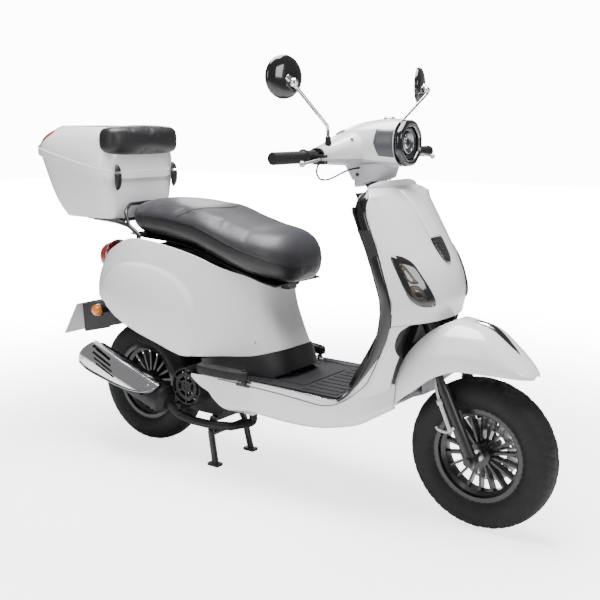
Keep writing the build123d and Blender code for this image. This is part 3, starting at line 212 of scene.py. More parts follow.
finishes = {
    "whitePaint": dict(color=(0.80, 0.80, 0.82), roughness=0.22, coat=0.9),
    "greyPlastic": dict(color=(0.50, 0.50, 0.53), roughness=0.35, coat=0.2),
    "satinBlack": dict(color=(0.012, 0.012, 0.013), roughness=0.42),
    "glossBlack": dict(color=(0.006, 0.006, 0.007), roughness=0.12, coat=0.8),
    "floorRubber": dict(color=(0.028, 0.028, 0.031), roughness=0.6),
    "framePaint": dict(color=(0.010, 0.010, 0.011), roughness=0.38, coat=0.2),
    "rackPaint": dict(color=(0.012, 0.012, 0.013), roughness=0.28, coat=0.4),
    "chrome": dict(color=(0.82, 0.82, 0.84), roughness=0.07, metallic=1.0),
    "darkChrome": dict(color=(0.16, 0.16, 0.17), roughness=0.12, metallic=1.0),
    "castAlloy": dict(color=(0.56, 0.56, 0.58), roughness=0.40, metallic=0.9),
    "turnedSteel": dict(color=(0.50, 0.50, 0.52), roughness=0.30, metallic=1.0),
    "tyreRubber": dict(color=(0.009, 0.009, 0.010), roughness=0.62),
    "wheelPaint": dict(color=(0.008, 0.008, 0.009), roughness=0.30, coat=0.3),
    "seatVinyl": dict(color=(0.030, 0.030, 0.034), roughness=0.42),
    "sideVinyl": dict(color=(0.010, 0.010, 0.011), roughness=0.40),
    "softRubber": dict(color=(0.010, 0.010, 0.010), roughness=0.55),
    "redLens": dict(color=(0.42, 0.006, 0.010), roughness=0.10, coat=1.0),
    "amberLens": dict(color=(0.80, 0.20, 0.01), roughness=0.14, coat=0.8),
    "smokeLens": dict(color=(0.010, 0.009, 0.009), roughness=0.08, coat=1.0),
    "lampBronze": dict(color=(0.045, 0.034, 0.027), roughness=0.30, metallic=0.5),
    "engineCast": dict(color=(0.014, 0.014, 0.015), roughness=0.50),
    "exhaustPaint": dict(color=(0.010, 0.010, 0.010), roughness=0.48),
    "plateMetal": dict(color=(0.55, 0.55, 0.57), roughness=0.45),
    "dialGlass": dict(color=(0.014, 0.014, 0.016), roughness=0.05, coat=1.0),
    "mirrorGlass": dict(color=(0.90, 0.91, 0.92), roughness=0.02, metallic=1.0),
    "lampSilver": dict(color=(0.34, 0.35, 0.37), roughness=0.22, metallic=1.0),
    "clearCover": dict(color=(0.95, 0.96, 0.97), roughness=0.03, coat=0.6),
    "headGrey": dict(color=(0.060, 0.062, 0.068), roughness=0.35, coat=0.2),
}
material = {name: newMaterial(name, **facts) for name, facts in finishes.items()}
addNoiseBump(material["whitePaint"], 900.0, 0.015, 0.0002)
for name in ("greyPlastic", "satinBlack", "headGrey"):
    addNoiseBump(material[name], 1400.0, 0.10, 0.0002)
for name in ("castAlloy", "engineCast", "exhaustPaint"):
    addNoiseBump(material[name], 700.0, 0.25, 0.0003)
for name in ("tyreRubber", "softRubber", "floorRubber"):
    addNoiseBump(material[name], 500.0, 0.12, 0.0003)
for name in ("seatVinyl", "sideVinyl"):
    addNoiseBump(material[name], 520.0, 0.16, 0.0004, cells=True)
addNoiseBump(material["turnedSteel"], 300.0, 0.08, 0.0002, stretch=(1.0, 6.0, 1.0))
for name, low, high in (
    ("chrome", 0.04, 0.12), ("castAlloy", 0.30, 0.50), ("tyreRubber", 0.52, 0.72),
    ("satinBlack", 0.36, 0.50), ("framePaint", 0.30, 0.46), ("wheelPaint", 0.22, 0.36),
    ("mirrorGlass", 0.01, 0.04), ("plateMetal", 0.38, 0.52), ("engineCast", 0.42, 0.6),
    ("exhaustPaint", 0.40, 0.58),
):
    addRoughnessWear(material[name], low, high)
clear = material["clearCover"].node_tree.nodes["Principled BSDF"]
clear.inputs["Transmission Weight"].default_value = 0.92
clear.inputs["IOR"].default_value = 1.2
for name in ("tyreRubber", "softRubber", "floorRubber", "engineCast", "exhaustPaint"):
    material[name].node_tree.nodes["Principled BSDF"].inputs["Specular IOR Level"].default_value = 0.28
print("finishes ready")

nodeFinish = {
    "frame": "framePaint", "floor_board": "satinBlack", "floor_mat": "floorRubber",
    "floor_side_panels": "whitePaint", "leg_shield_front": "whitePaint",
    "leg_shield_inner": "satinBlack", "horn_cover": "whitePaint", "horn_grille": "glossBlack",
    "turn_signals": "smokeLens", "steering_stem": "framePaint", "fork_sliders": "framePaint",
    "front_tyre": "tyreRubber", "front_rim": "wheelPaint", "front_wheel_bearings": "turnedSteel",
    "front_brake_disc": "turnedSteel", "front_caliper": "castAlloy", "brake_hose": "softRubber",
    "front_fender": "whitePaint", "headset_upper": "whitePaint", "headset_lower": "greyPlastic",
    "headlight": "glossBlack", "speedometer": "dialGlass", "handlebar": "satinBlack",
    "throttle_grip": "softRubber", "left_grip": "softRubber", "brake_lever_right": "castAlloy",
    "brake_lever_left": "castAlloy", "starter_button": "greyPlastic", "horn_button": "greyPlastic",
    "brake_cable": "softRubber", "mirror_stems": "chrome", "mirror_head_right": "glossBlack",
    "mirror_head_left": "glossBlack", "rear_body": "whitePaint", "side_covers": "whitePaint",
    "lower_skirt": "satinBlack", "helmet_bucket": "satinBlack", "seat_base": "satinBlack",
    "seat_cushion": "seatVinyl", "tail_light": "redLens", "rear_mudguard": "satinBlack",
    "number_plate": "plateMetal", "rear_rack": "rackPaint", "topcase_base": "whitePaint",
    "topcase_lid": "whitePaint", "backrest_pad": "sideVinyl", "engine_case": "engineCast",
    "cylinder": "castAlloy", "crankshaft": "turnedSteel", "exhaust_pipe": "exhaustPaint",
    "heat_shield": "chrome", "rear_tyre": "tyreRubber", "rear_rim": "wheelPaint",
    "shock_upper": "framePaint", "shock_lower": "turnedSteel", "shock_spring": "framePaint",
    "centre_stand": "framePaint", "footrest_right": "softRubber", "footrest_left": "softRubber",
    "kickstart_lever": "turnedSteel",
}


def dressNodes():
    for name, finish in nodeFinish.items():
        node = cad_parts[name]
        node.data.materials.clear()
        node.data.materials.append(material[finish])


dressNodes()
print("nodes dressed")

# shaping helpers

bothSides = ((-1, "Right"), (1, "Left"))


def bowed(value, power):
    # signed power, for rings that are squarer or rounder than an ellipse
    return math.copysign(abs(value) ** power, value)


def turns(count):
    # cosine and sine of each step round a circle
    return [(math.cos(2 * math.pi * j / count), math.sin(2 * math.pi * j / count)) for j in range(count)]



def between(stations, x):
    # smooth value along stations of (place, value, value...)
    last = len(stations) - 1
    if x <= stations[0][0]:
        return stations[0][1:]
    if x >= stations[last][0]:
        return stations[last][1:]
    i = max(k for k in range(last) if stations[k][0] <= x)
    a, b, c, d = stations[max(i - 1, 0)], stations[i], stations[i + 1], stations[min(i + 2, last)]
    t = (x - b[0]) / (c[0] - b[0])
    result = []
    for k in range(1, len(b)):
        slopeB = (c[k] - a[k]) / (c[0] - a[0]) if c[0] != a[0] else 0.0
        slopeC = (d[k] - b[k]) / (d[0] - b[0]) if d[0] != b[0] else 0.0
        width = c[0] - b[0]
        h1, h2 = (1 + 2 * t) * (1 - t) ** 2, t * (1 - t) ** 2
        h3, h4 = t * t * (3 - 2 * t), t * t * (t - 1)
        result.append(h1 * b[k] + h2 * width * slopeB + h3 * c[k] + h4 * width * slopeC)
    return result


def alongCurve(p, t):
    # point at share t between the middle two of four
    bend = 2 * p[0] - 5 * p[1] + 4 * p[2] - p[3]
    return 0.5 * (2 * p[1] + (p[2] - p[0]) * t + bend * t * t + (3 * p[1] - p[0] - 3 * p[2] + p[3]) * t ** 3)


def smoothLoop(points, steps, closed=True):
    # denser points on a smooth line through the given ones
    count = len(points)
    result = []
    for i in range(count if closed else count - 1):
        if closed:
            p = [Vector(points[(i + k) % count]) for k in (-1, 0, 1, 2)]
        else:
            p = [Vector(points[min(max(i + k, 0), count - 1)]) for k in (-1, 0, 1, 2)]
        result += [alongCurve(p, j / steps) for j in range(steps)]
    if not closed:
        result.append(Vector(points[-1]))
    return result


def newPiece(name, verts, faces, finish, body, nodes=(), flat=False):
    mesh = bpy.data.meshes.new(name)
    mesh.from_pydata([tuple(v) for v in verts], [], faces)
    mesh.validate()
    shape = bmesh.new()
    shape.from_mesh(mesh)
    bmesh.ops.remove_doubles(shape, verts=shape.verts, dist=0.00002)
    bmesh.ops.recalc_face_normals(shape, faces=shape.faces)
    for face in shape.faces:
        face.smooth = not flat
    shape.to_mesh(mesh)
    shape.free()
    piece = bpy.data.objects.new(name, mesh)
    bpy.context.collection.objects.link(piece)
    mesh.materials.append(material[finish])
    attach(piece, body)
    if nodes:
        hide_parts(*nodes)
    return piece


def gridFaces(rows, columns, wrapColumns=False, wrapRows=0, start=0):
    faces = []
    for i in range(rows - 1):
        near, far = start + i * columns, start + (i + 1) % (wrapRows or rows) * columns
        for j in range(columns if wrapColumns else columns - 1):
            k = (j + 1) % columns
            faces.append((near + j, near + k, far + k, far + j))
    return faces


def skinned(rings):
    # closed tube through rings with the same count of points
    columns = len(rings[0])
    verts = [v for ring in rings for v in ring]
    faces = gridFaces(len(rings), columns, wrapColumns=True)
    for k, ring in ((0, rings[0]), (len(rings) - 1, rings[-1])):
        verts.append(sum(ring, Vector()) / columns)
        for j in range(columns):
            faces.append((k * columns + j, k * columns + (j + 1) % columns, len(verts) - 1))
    return verts, faces


def looped(rings):
    # band through rings whose last joins the first
    return [v for ring in rings for v in ring], gridFaces(len(rings) + 1, len(rings[0]), wrapColumns=True,
                                                          wrapRows=len(rings))


def tubeRings(path, radius, sides=10, closed=False):
    rings = []
    count = len(path)
    up = Vector((0, 0, 1))
    for i, p in enumerate(path):
        ahead = path[(i + 1) % count] if closed or i < count - 1 else p
        behind = path[i - 1] if closed or i > 0 else p
        along = (ahead - behind).normalized()
        if i == 0:
            side = along.cross(up)
            if side.length < 0.1:
                side = along.cross(Vector((0, 1, 0)))
        side = (side - along * side.dot(along)).normalized()
        other = along.cross(side)
        r = radius[i] if isinstance(radius, (list, tuple)) else radius
        rings.append([p + (side * c + other * s) * r for c, s in turns(sides)])
    return rings


def tubePiece(name, path, radius, finish, body, nodes=(), sides=10, closed=False):
    rings = tubeRings(path, radius, sides, closed)
    verts, faces = looped(rings) if closed else skinned(rings)
    return newPiece(name, verts, faces, finish, body, nodes)


def latheRings(profile, centre, axis, start, steps):
    # profile of (distance along axis, radius), turned about the axis through centre
    axis = axis.normalized()
    start = (start - axis * start.dot(axis)).normalized()
    other = axis.cross(start)
    rings = []
    for along, radius in profile:
        middle = centre + axis * along
        rings.append([middle + (start * c + other * s) * radius for c, s in turns(steps)])
    return rings


def turned(name, profile, centre, axis, finish, body, nodes=(), steps=48, closedProfile=False, flat=False):
    rings = latheRings([(a * mm, r * mm) for a, r in profile], centre, Vector(axis),
                       Vector((0.31, 0.17, 0.93)), steps)
    verts, faces = looped(rings) if closedProfile else skinned(rings)
    return newPiece(name, verts, faces, finish, body, nodes, flat)


def addSolid(piece, thickness, offset=-1.0):
    wall = piece.modifiers.new("wall", "SOLIDIFY")
    wall.thickness = thickness
    wall.offset = offset
    wall.use_even_offset = False


def addSubdivision(piece, levels=1):
    smooth = piece.modifiers.new("smooth", "SUBSURF")
    smooth.levels = smooth.render_levels = levels


def applied(piece):
    # the piece with its modifiers made real
    depsgraph = bpy.context.evaluated_depsgraph_get()
    mesh = bpy.data.meshes.new_from_object(piece.evaluated_get(depsgraph))
    piece.modifiers.clear()
    piece.data = mesh
    return piece


# upholstery

cushion = {
    "voxel": 0.007,
    "pressure": 4.0,
    "frames": 20,
    "cap": 0.006,
    # place along the seat, underside height, top height, half width
    "stations": [
        (4, 790, 842, 58), (18, 776, 855, 88), (40, 764, 864, 112), (80, 756, 871, 130),
        (120, 752, 875, 142), (210, 748, 874, 154), (290, 738, 867, 158), (340, 727, 863, 159),
        (370, 718, 856, 160), (410, 706, 843, 161), (450, 692, 831, 162), (530, 668, 811, 160),
        (600, 650, 799, 150), (640, 641, 786, 134), (668, 640, 764, 108), (684, 648, 742, 76),
        (693, 664, 722, 44),
    ],
}


def seatRing(x, low, high, half, count=56):
    # flat-crowned top, full sides that tuck in under the edge
    middle = low + (high - low) * 0.52
    ring = []
    for c, s in turns(count):
        power = 2.5 if s > 0 else 3.2
        y = half * bowed(c, 2 / power)
        z = (high - middle if s > 0 else middle - low) * bowed(s, 2 / power)
        if s < 0:
            y *= 1 - 0.10 * abs(s) ** 2
        ring.append(at(x, y, middle + z))
    return ring


def pressed(piece, voxel, pressure, frames, cap):
    # remesh, swell as cloth, then hold every point near where it began
    remesh = piece.modifiers.new("even", "REMESH")
    remesh.mode = "VOXEL"
    remesh.voxel_size = voxel
    applied(piece)
    before = [v.co.copy() for v in piece.data.vertices]
    cloth = piece.modifiers.new("swell", "CLOTH")
    cloth.settings.use_pressure = True
    cloth.settings.uniform_pressure_force = pressure
    cloth.settings.effector_weights.gravity = 0.0
    cloth.settings.quality = 5
    scene = bpy.context.scene
    for step in range(1, frames + 1):
        scene.frame_set(step)
    applied(piece)
    scene.frame_set(1)
    for vertex, start in zip(piece.data.vertices, before):
        move = vertex.co - start
        if move.length > cap:
            vertex.co = start + move.normalized() * cap
    for polygon in piece.data.polygons:
        polygon.use_smooth = True
    addSubdivision(piece)
    return applied(piece)


def surfacePoints(piece, rays):
    # where each ray of (start, direction) meets the piece
    tree = BVHTree.FromObject(piece, bpy.context.evaluated_depsgraph_get())
    hits = []
    for start, direction in rays:
        hit, normal, index, distance = tree.ray_cast(start, direction)
        if hit is not None:
            hits.append((hit, normal))
    return hits


def newTree(name, sizes, finishLabel):
    # empty node group with named sizes and a material as inputs
    tree = bpy.data.node_groups.new(name, "GeometryNodeTree")
    tree.interface.new_socket("Geometry", in_out="INPUT", socket_type="NodeSocketGeometry")
    for label, value in sizes:
        socket = tree.interface.new_socket(label, in_out="INPUT", socket_type="NodeSocketFloat")
        socket.default_value = value
    tree.interface.new_socket(finishLabel, in_out="INPUT", socket_type="NodeSocketMaterial")
    tree.interface.new_socket("Geometry", in_out="OUTPUT", socket_type="NodeSocketGeometry")
    return tree


def stitchTree():
    tree = newTree("stitchRow", (("spacing", 0.006), ("length", 0.0036), ("thickness", 0.0006)), "thread")
    nodes, link = tree.nodes, tree.links.new
    source, target = nodes.new("NodeGroupInput"), nodes.new("NodeGroupOutput")
    curve = nodes.new("GeometryNodeMeshToCurve")
    points = nodes.new("GeometryNodeCurveToPoints")
    points.mode = "LENGTH"
    stitch = nodes.new("GeometryNodeMeshCylinder")
    stitch.inputs["Vertices"].default_value = 6
    stand = nodes.new("GeometryNodeInstanceOnPoints")
    realize = nodes.new("GeometryNodeRealizeInstances")
    paint = nodes.new("GeometryNodeSetMaterial")
    link(source.outputs["Geometry"], curve.inputs["Mesh"])
    link(curve.outputs["Curve"], points.inputs["Curve"])
    link(source.outputs["spacing"], points.inputs["Length"])
    link(source.outputs["thickness"], stitch.inputs["Radius"])
    link(source.outputs["length"], stitch.inputs["Depth"])
    link(points.outputs["Points"], stand.inputs["Points"])
    link(stitch.outputs["Mesh"], stand.inputs["Instance"])
    link(points.outputs["Rotation"], stand.inputs["Rotation"])
    link(stand.outputs["Instances"], realize.inputs["Geometry"])
    link(realize.outputs["Geometry"], paint.inputs["Geometry"])
    link(source.outputs["thread"], paint.inputs["Material"])
    link(paint.outputs["Geometry"], target.inputs["Geometry"])
    return tree


def setInput(modifier, tree, label, value):
    for item in tree.interface.items_tree:
        if item.item_type == "SOCKET" and item.in_out == "INPUT" and item.name == label:
            modifier[item.identifier] = value


def stitchRow(name, path, body, finish="seatVinyl", spacing=0.006):
    mesh = bpy.data.meshes.new(name)
    mesh.from_pydata([tuple(p) for p in path], [(i, i + 1) for i in range(len(path) - 1)], [])
    piece = bpy.data.objects.new(name, mesh)
    bpy.context.collection.objects.link(piece)
    row = piece.modifiers.new("row", "NODES")
    row.node_group = stitches
    setInput(row, stitches, "spacing", spacing)
    setInput(row, stitches, "thread", material[finish])
    applied(piece)
    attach(piece, body)
    return piece


stitches = stitchTree()


def makeSeat():
    rings = []
    stations = cushion["stations"]
    for i in range(70):
        x = stations[0][0] + (stations[-1][0] - stations[0][0]) * (0.5 - 0.5 * math.cos(math.pi * i / 69))
        low, high, half = between(stations, x)
        rings.append(seatRing(x, low, high, half))
    verts, faces = skinned(rings)
    seat = newPiece("seatCover", verts, faces, "seatVinyl", "seat", ["seat_cushion"])
    pressed(seat, cushion["voxel"], cushion["pressure"], cushion["frames"], cushion["cap"])
    seat.data.materials.clear()
    seat.data.materials.append(material["seatVinyl"])
    seat.data.materials.append(material["sideVinyl"])
    for polygon in seat.data.polygons:
        x = (polygon.center.x - rearAxleX) / mm
        z = polygon.center.z / mm
        low, high, half = between(stations, x)
        if z < low + (high - low) * sideBand(x):
            polygon.material_index = 1
    edges = []
    for side in (-1, 1):
        rays = []
        for i in range(90):
            x = 16 + 664 * i / 89
            low, high, half = between(stations, x)
            rays.append((at(x, side * 260, low + (high - low) * sideBand(x)), Vector((0, -side, 0))))
        edges.append([hit + normal * 0.0004 for hit, normal in surfacePoints(seat, rays)])
    for path, name in zip(edges, ("seatSeamRight", "seatSeamLeft")):
        tubePiece(name, path, 0.0013, "sideVinyl", "seat", sides=6)
        stitchRow(name.replace("Seam", "Stitch"), [p + Vector((0, 0, 0.006)) for p in path], "seat")
    rays = []
    for i in range(41):
        y = -150 + 300 * i / 40
        rays.append((at(345 + 34 * math.cos(math.pi * y / 330) - 90 * (abs(y) / 150) ** 2.4, y, 960),
                     Vector((0, 0, -1))))
    across = [hit + normal * 0.0004 for hit, normal in surfacePoints(seat, rays)]
    tubePiece("seatSeamAcross", across, 0.0012, "sideVinyl", "seat", sides=6)


def sideBand(x):
    # share of the seat's height at which the dark side panel ends
    return 0.62 - 0.10 * min(max((x - 430) / 240, 0), 1)


backPad = {
    "voxel": 0.005,
    "pressure": 4.0,
    "frames": 18,
    "cap": 0.004,
    # place across, middle along, middle height, half depth, half height
    "stations": [
        (-166, -40, 1069, 14, 22), (-158, -37, 1070, 28, 36), (-142, -34, 1071, 38, 44),
        (-110, -30, 1071, 43, 47), (-60, -27, 1071, 45, 48), (0, -26, 1071, 45, 48),
        (60, -27, 1071, 45, 48), (110, -30, 1071, 43, 47), (142, -34, 1071, 38, 44),
        (158, -37, 1070, 28, 36), (166, -40, 1069, 14, 22),
    ],
}


def makeBackPad():
    rings = []
    for i in range(60):
        y = -166 + 332 * (0.5 - 0.5 * math.cos(math.pi * i / 59))
        x, z, halfX, halfZ = between(backPad["stations"], y)
        ring = []
        for c, s in turns(40):
            ring.append(at(x + halfX * bowed(c, 0.62), y, z + halfZ * bowed(s, 0.62)))
        rings.append(ring)
    verts, faces = skinned(rings)
    pad = newPiece("backrestCover", verts, faces, "sideVinyl", "lid", ["backrest_pad"])
    pressed(pad, backPad["voxel"], backPad["pressure"], backPad["frames"], backPad["cap"])
    pad.data.materials.clear()
    pad.data.materials.append(material["sideVinyl"])


# rear bodywork

tailBody = {
    "wall": 0.0024,
    "columns": 190,
    "rows": 64,
    "cheekStep": 7.0,
    "cheekDome": 11.0,
    # height, rear, half width at the wheel, at the knees, at the front corner, front
    "levels": [
        (380, -120, 178, 166, 132, 676), (480, -172, 196, 166, 122, 634), (580, -188, 196, 160, 112, 602),
        (680, -128, 180, 152, 108, 598), (770, -10, 156, 142, 106, 600),
    ],
    "lowEdge": [
        (-200, 585), (-150, 548), (-46, 516), (28, 478), (110, 449), (198, 422), (300, 391), (368, 393),
        (461, 404), (563, 413), (650, 436), (760, 462),
    ],
    "highEdge": [(-200, 640), (-130, 660), (-56, 700), (0, 728), (60, 750), (152, 752), (256, 738),
                 (364, 714), (443, 686), (544, 658), (641, 624), (760, 640)],
    "cheek": [
        (-86, 556), (-72, 598), (-36, 636), (29, 664), (121, 676), (208, 670), (286, 644), (338, 599),
        (366, 534), (374, 458), (366, 402), (326, 384), (276, 392), (198, 418), (110, 444), (28, 472),
        (-46, 510),
    ],
}


def bodyContour(z):
    rear, wheel, knee, corner, front = between(tailBody["levels"], z)
    half = [
        (rear, 0), (rear * 0.86, wheel * 0.42), (rear * 0.42, wheel * 0.80), (150, wheel), (400, knee),
        (540, corner), (front - 12, corner * 0.62), (front, 0),
    ]
    return [(half[1][0], -half[1][1])] + half + [(half[-2][0], -half[-2][1])]


def contourPoint(z, s):
    points = bodyContour(z)
    t = s * 7
    i = min(int(t), 6)
    t -= i
    p = [Vector(points[i + k]) for k in (0, 1, 2, 3)]
    return alongCurve(p, t)


def insideDepth(x, z, loop):
    # how far a point lies inside the loop, negative outside
    nearest, inside = 1e9, False
    for a, b in zip(loop, loop[1:] + loop[:1]):
        ab = b - a
        p = Vector((x, z)) - a
        t = min(max(p.dot(ab) / ab.length_squared, 0), 1)
        nearest = min(nearest, (p - ab * t).length)
        if (a.y > z) != (b.y > z) and x < a.x + (z - a.y) / (b.y - a.y) * (b.x - a.x):
            inside = not inside
    return nearest if inside else -nearest


def makeTailBody():
    cheek = smoothLoop(tailBody["cheek"], 4)
    rows, columns = tailBody["rows"], tailBody["columns"]
    grid = []
    for j in range(columns):
        s = j / (columns - 1)
        low, high = 400.0, 700.0
        for _ in range(12):
            low = between(tailBody["lowEdge"], contourPoint(low, s).x)[0]
            high = 0.5 * high + 0.5 * between(tailBody["highEdge"], contourPoint(high, s).x)[0]
        column = []
        for i in range(rows):
            z = low + (high - low) * i / (rows - 1)
            p = contourPoint(z, s)
            y = p.y
            if -110 < p.x < 390:
                depth = insideDepth(p.x, z, cheek)
                if depth > 0:
                    rise = min(depth / 7.0, 1.0)
                    rise = rise * rise * (3 - 2 * rise)
                    y += tailBody["cheekStep"] * rise + tailBody["cheekDome"] * (1 - math.exp(-depth / 55.0))
            column.append((p.x, y, z))
        grid.append(column)
    verts, faces = [], []
    for side in (-1, 1):
        start = len(verts)
        for i in range(rows):
            for j in range(columns):
                x, y, z = grid[j][i]
                verts.append(at(x, side * y, z))
        faces += gridFaces(rows, columns, start=start)
    body = newPiece("tailBodyShell", verts, faces, "whitePaint", "chassis", ["rear_body", "side_covers"])
    addSolid(body, tailBody["wall"])
    lip = []
    for j in range(columns):
        lip.append(grid[j][0])
    for side, name in ((-1, "tailEdgeRight"), (1, "tailEdgeLeft")):
        path = [at(x, side * (y - 0.8), z + 0.4) for x, y, z in lip]
        tubePiece(name, path, 0.0016, "whitePaint", "chassis", sides=8)


makeSeat()
makeBackPad()
print("upholstery ready")
makeTailBody()
print("rear bodywork ready")

# leg shield

shield = {
    "band": 38.0,
    "wall": 0.0025,
    # height, centre, half width
    "levels": [
        (285, 985, 184), (330, 1040, 196), (400, 1125, 200), (470, 1165, 200), (540, 1178, 200),
        (600, 1183, 200), (650, 1197, 200), (700, 1190, 200), (743, 1173, 198), (793, 1142, 194),
        (845, 1110, 190), (893, 1077, 184), (930, 1042, 166), (955, 1008, 134),
    ],
    # height, rider-side face
    "back": [
        (285, 800), (350, 925), (372, 958), (395, 980), (462, 1021), (518, 1046), (574, 1063),
        (620, 1069), (660, 1066), (743, 1038), (799, 1016), (845, 994), (890, 975), (925, 972),
        (950, 985),
    ],
    # height, front edge of the lower panel beside the wheel
    "arch": [(296, 1010), (341, 1085), (396, 1155), (436, 1160), (470, 1130), (520, 1110), (569, 1120),
             (590, 1140), (600, 1160)],
}


def shieldPoint(z, w):
    # w runs from 0 at the middle to 1 at the edge band
    middle, half = between(shield["levels"], z)
    edge = min(between(shield["back"], z)[0] + shield["band"] + 2.2, middle - 25)
    y = half * math.sin(w * math.pi / 2) ** 0.92
    share = 1 - (y / half) ** 2.15
    return edge + (middle - edge) * max(share, 0) ** 0.86, y


def wheelRoom(x, y, z):
    # true inside the space that the steered wheel and mudguard sweep
    axisX = 1079.4 - (z - 620) * 0.4877
    foot = z + (axisX - x) * 0.394
    reach = between([(180, 200), (470, 172), (610, 142)], foot)[0] + 3
    return x > 1008 and math.hypot((x - axisX) * 0.899, y) < reach


def makeShield():
    rows, columns = 110, 44
    verts, faces = [], []
    for side in (-1, 1):
        start = len(verts)
        for i in range(rows):
            z = 592 + (953 - 592) * i / (rows - 1)
            for j in range(columns):
                x, y = shieldPoint(z, j / (columns - 1))
                verts.append(at(x, side * y, z))
        faces += gridFaces(rows, columns, start=start)
    upper = newPiece("shieldFront", verts, faces, "whitePaint", "chassis", ["leg_shield_front"])
    addSolid(upper, shield["wall"])
    verts, faces = [], []
    for side in (-1, 1):
        start = len(verts)
        for i in range(90):
            z = 294 + (590.5 - 294) * i / 89
            front = between(shield["arch"], z)[0]
            inner = 1.0
            for k in range(200):  # walks inwards until the panel reaches the wheel arch
                x, y = shieldPoint(z, 1 - k / 200)
                if x > front or wheelRoom(x, y, z):
                    break
                inner = 1 - k / 200
            for j in range(36):
                x, y = shieldPoint(z, inner + (1 - inner) * j / 35)
                verts.append(at(x, side * (y - 0.8), z))
        faces += gridFaces(90, 36, start=start)
    lower = newPiece("shieldLower", verts, faces, "whitePaint", "chassis")
    addSolid(lower, shield["wall"])


def archShape():
    # dark liner behind the front wheel
    rows = []
    for i in range(24):
        t = i / 23
        z = 300 + 300 * t
        x = between([(300, 1006), (412, 1006), (495, 1016), (569, 1052), (600, 1072)], z)[0]
        row = []
        for j in range(25):
            y = -168 + 336 * j / 24
            row.append(at(x, y, z))
        rows.append(row)
    verts = [v for row in rows for v in row]
    liner = newPiece("archLiner", verts, gridFaces(24, 25), "satinBlack", "chassis")
    addSolid(liner, 0.002)


def makeShieldTrim():
    # rounded dark edging with a bright bead where it meets the white panel
    for side, name in bothSides:
        path = []
        for i in range(100):
            z = 353 + (950 - 353) * i / 99
            back = between(shield["back"], z)[0]
            middle, half = between(shield["levels"], z)
            wide = min(max((z - 350) / 210, 0.0), 1.0)
            edge = min(back + 5 + (shield["band"] - 5) * wide * wide * (3 - 2 * wide), middle - 27)
            path.append((at(back + 3, side * (half - 2), z), at(edge, side * (half + 0.2), z)))
        rings = []
        for near, far in path:
            ring = []
            centre, reach = (near + far) / 2, (far - near) / 2
            outward = Vector((0, side, 0))
            for c, s in turns(16):
                ring.append(centre + reach * bowed(c, 0.6) + outward * (0.0045 * bowed(s, 0.8)))
            rings.append(ring)
        verts, faces = skinned(rings)
        newPiece("shieldEdge" + name, verts, faces, "glossBlack", "chassis")
        line = [far + Vector((0.0016, side * 0.001, 0)) for near, far in path]
        tubePiece("shieldBead" + name, line[45:], 0.0015, "chrome", "chassis", sides=8)
        lip = []
        for i in range(60):  # white rolled edge between the dark edging and the panel
            z = 350 + (585 - 350) * i / 59
            back = between(shield["back"], z)[0]
            lip.append([at(back + 1 + (shield["band"] + 4) * j / 9,
                           side * (198.4 + 3.2 * math.sin(math.pi * min(j / 9, 0.8))),
                           z - 6 * (1 - i / 59)) for j in range(10)])
        skin = newPiece("shieldLip" + name, [v for row in lip for v in row], gridFaces(60, 10),
                        "whitePaint", "chassis")
        addSolid(skin, 0.0015)


sweep = {
    # along and up: lower edge and upper edge of the white side below the floor
    "low": [(367, 330), (399, 303), (435, 288), (458, 262), (494, 241), (591, 250), (735, 245), (839, 249),
            (912, 262), (993, 286), (1040, 312), (1085, 340), (1122, 366)],
    "high": [(367, 341), (509, 346), (700, 345), (830, 341), (900, 338), (930, 352), (964, 380),
             (1004, 410), (1122, 412)],
    "line": [(1081, 520), (1068, 491), (1048, 448), (1032, 419), (1000, 388), (966, 362), (932, 342),
             (900, 331), (860, 327), (800, 331), (700, 336), (600, 339), (520, 341), (480, 341)],
    "bead": [(478, 350), (560, 351), (700, 351), (830, 349), (890, 345), (925, 349)],
}


def sweepSide(x, z, low, high):
    out = 196.5 if x < 993 else 196.5 - 46 * ((x - 993) / 92) ** 1.3
    t = (z - low) / max(high - low, 1)
    curl = 16 * max(1 - t * 5, 0) ** 2
    return out - curl - (14 * (z - low) / 100 if x > 993 else 0) * min((x - 993) / 60, 1)


def makeSideSweep():
    for side, name in bothSides:
        rows, columns, verts = 26, 120, []
        for i in range(columns):
            x = 367 + (1088 - 367) * i / (columns - 1)
            low, high = between(sweep["low"], x)[0], between(sweep["high"], x)[0]
            for j in range(rows):
                z = low + (high - low) * (j / (rows - 1)) ** 1.3
                verts.append(at(x, side * sweepSide(x, z, low, high), z))
        skin = newPiece("sideSweep" + name, verts, gridFaces(columns, rows), "whitePaint", "chassis")
        addSolid(skin, 0.002)
        path = [at(x, side * (201.6 if x > 900 else 197.6), z) for x, z in sweep["line"]]
        tubePiece("sweepLine" + name, smoothLoop(path, 8, closed=False), 0.0012, "satinBlack", "chassis",
                  sides=6)
        path = [at(x, side * 189, z) for x, z in sweep["bead"]]
        tubePiece("sweepBead" + name, smoothLoop(path, 8, closed=False), 0.0020, "chrome", "chassis", sides=8)


def makeShieldTop():
    # rounded head of the shield under the handlebar cover
    outline = [shieldPoint(952.5, j / 20) for j in range(21)]
    loop = [(x, -y) for x, y in outline[::-1]] + [(x, y) for x, y in outline[1:]]
    loop += [(loop[-1][0] - 6, 104), (992, 60), (990, 0), (992, -60), (loop[0][0] - 6, -104)]
    rings = []
    for k in range(9):
        t = k / 8
        share = math.cos(t * math.pi / 2) ** 0.8 if k < 8 else 0.02
        rings.append([at(1012 + (x - 1012) * share, y * share,
                         952.5 + 20 * math.sin(t * math.pi / 2)) for x, y in loop])
    verts, faces = skinned(rings)
    newPiece("shieldTop", verts, faces, "whitePaint", "chassis")


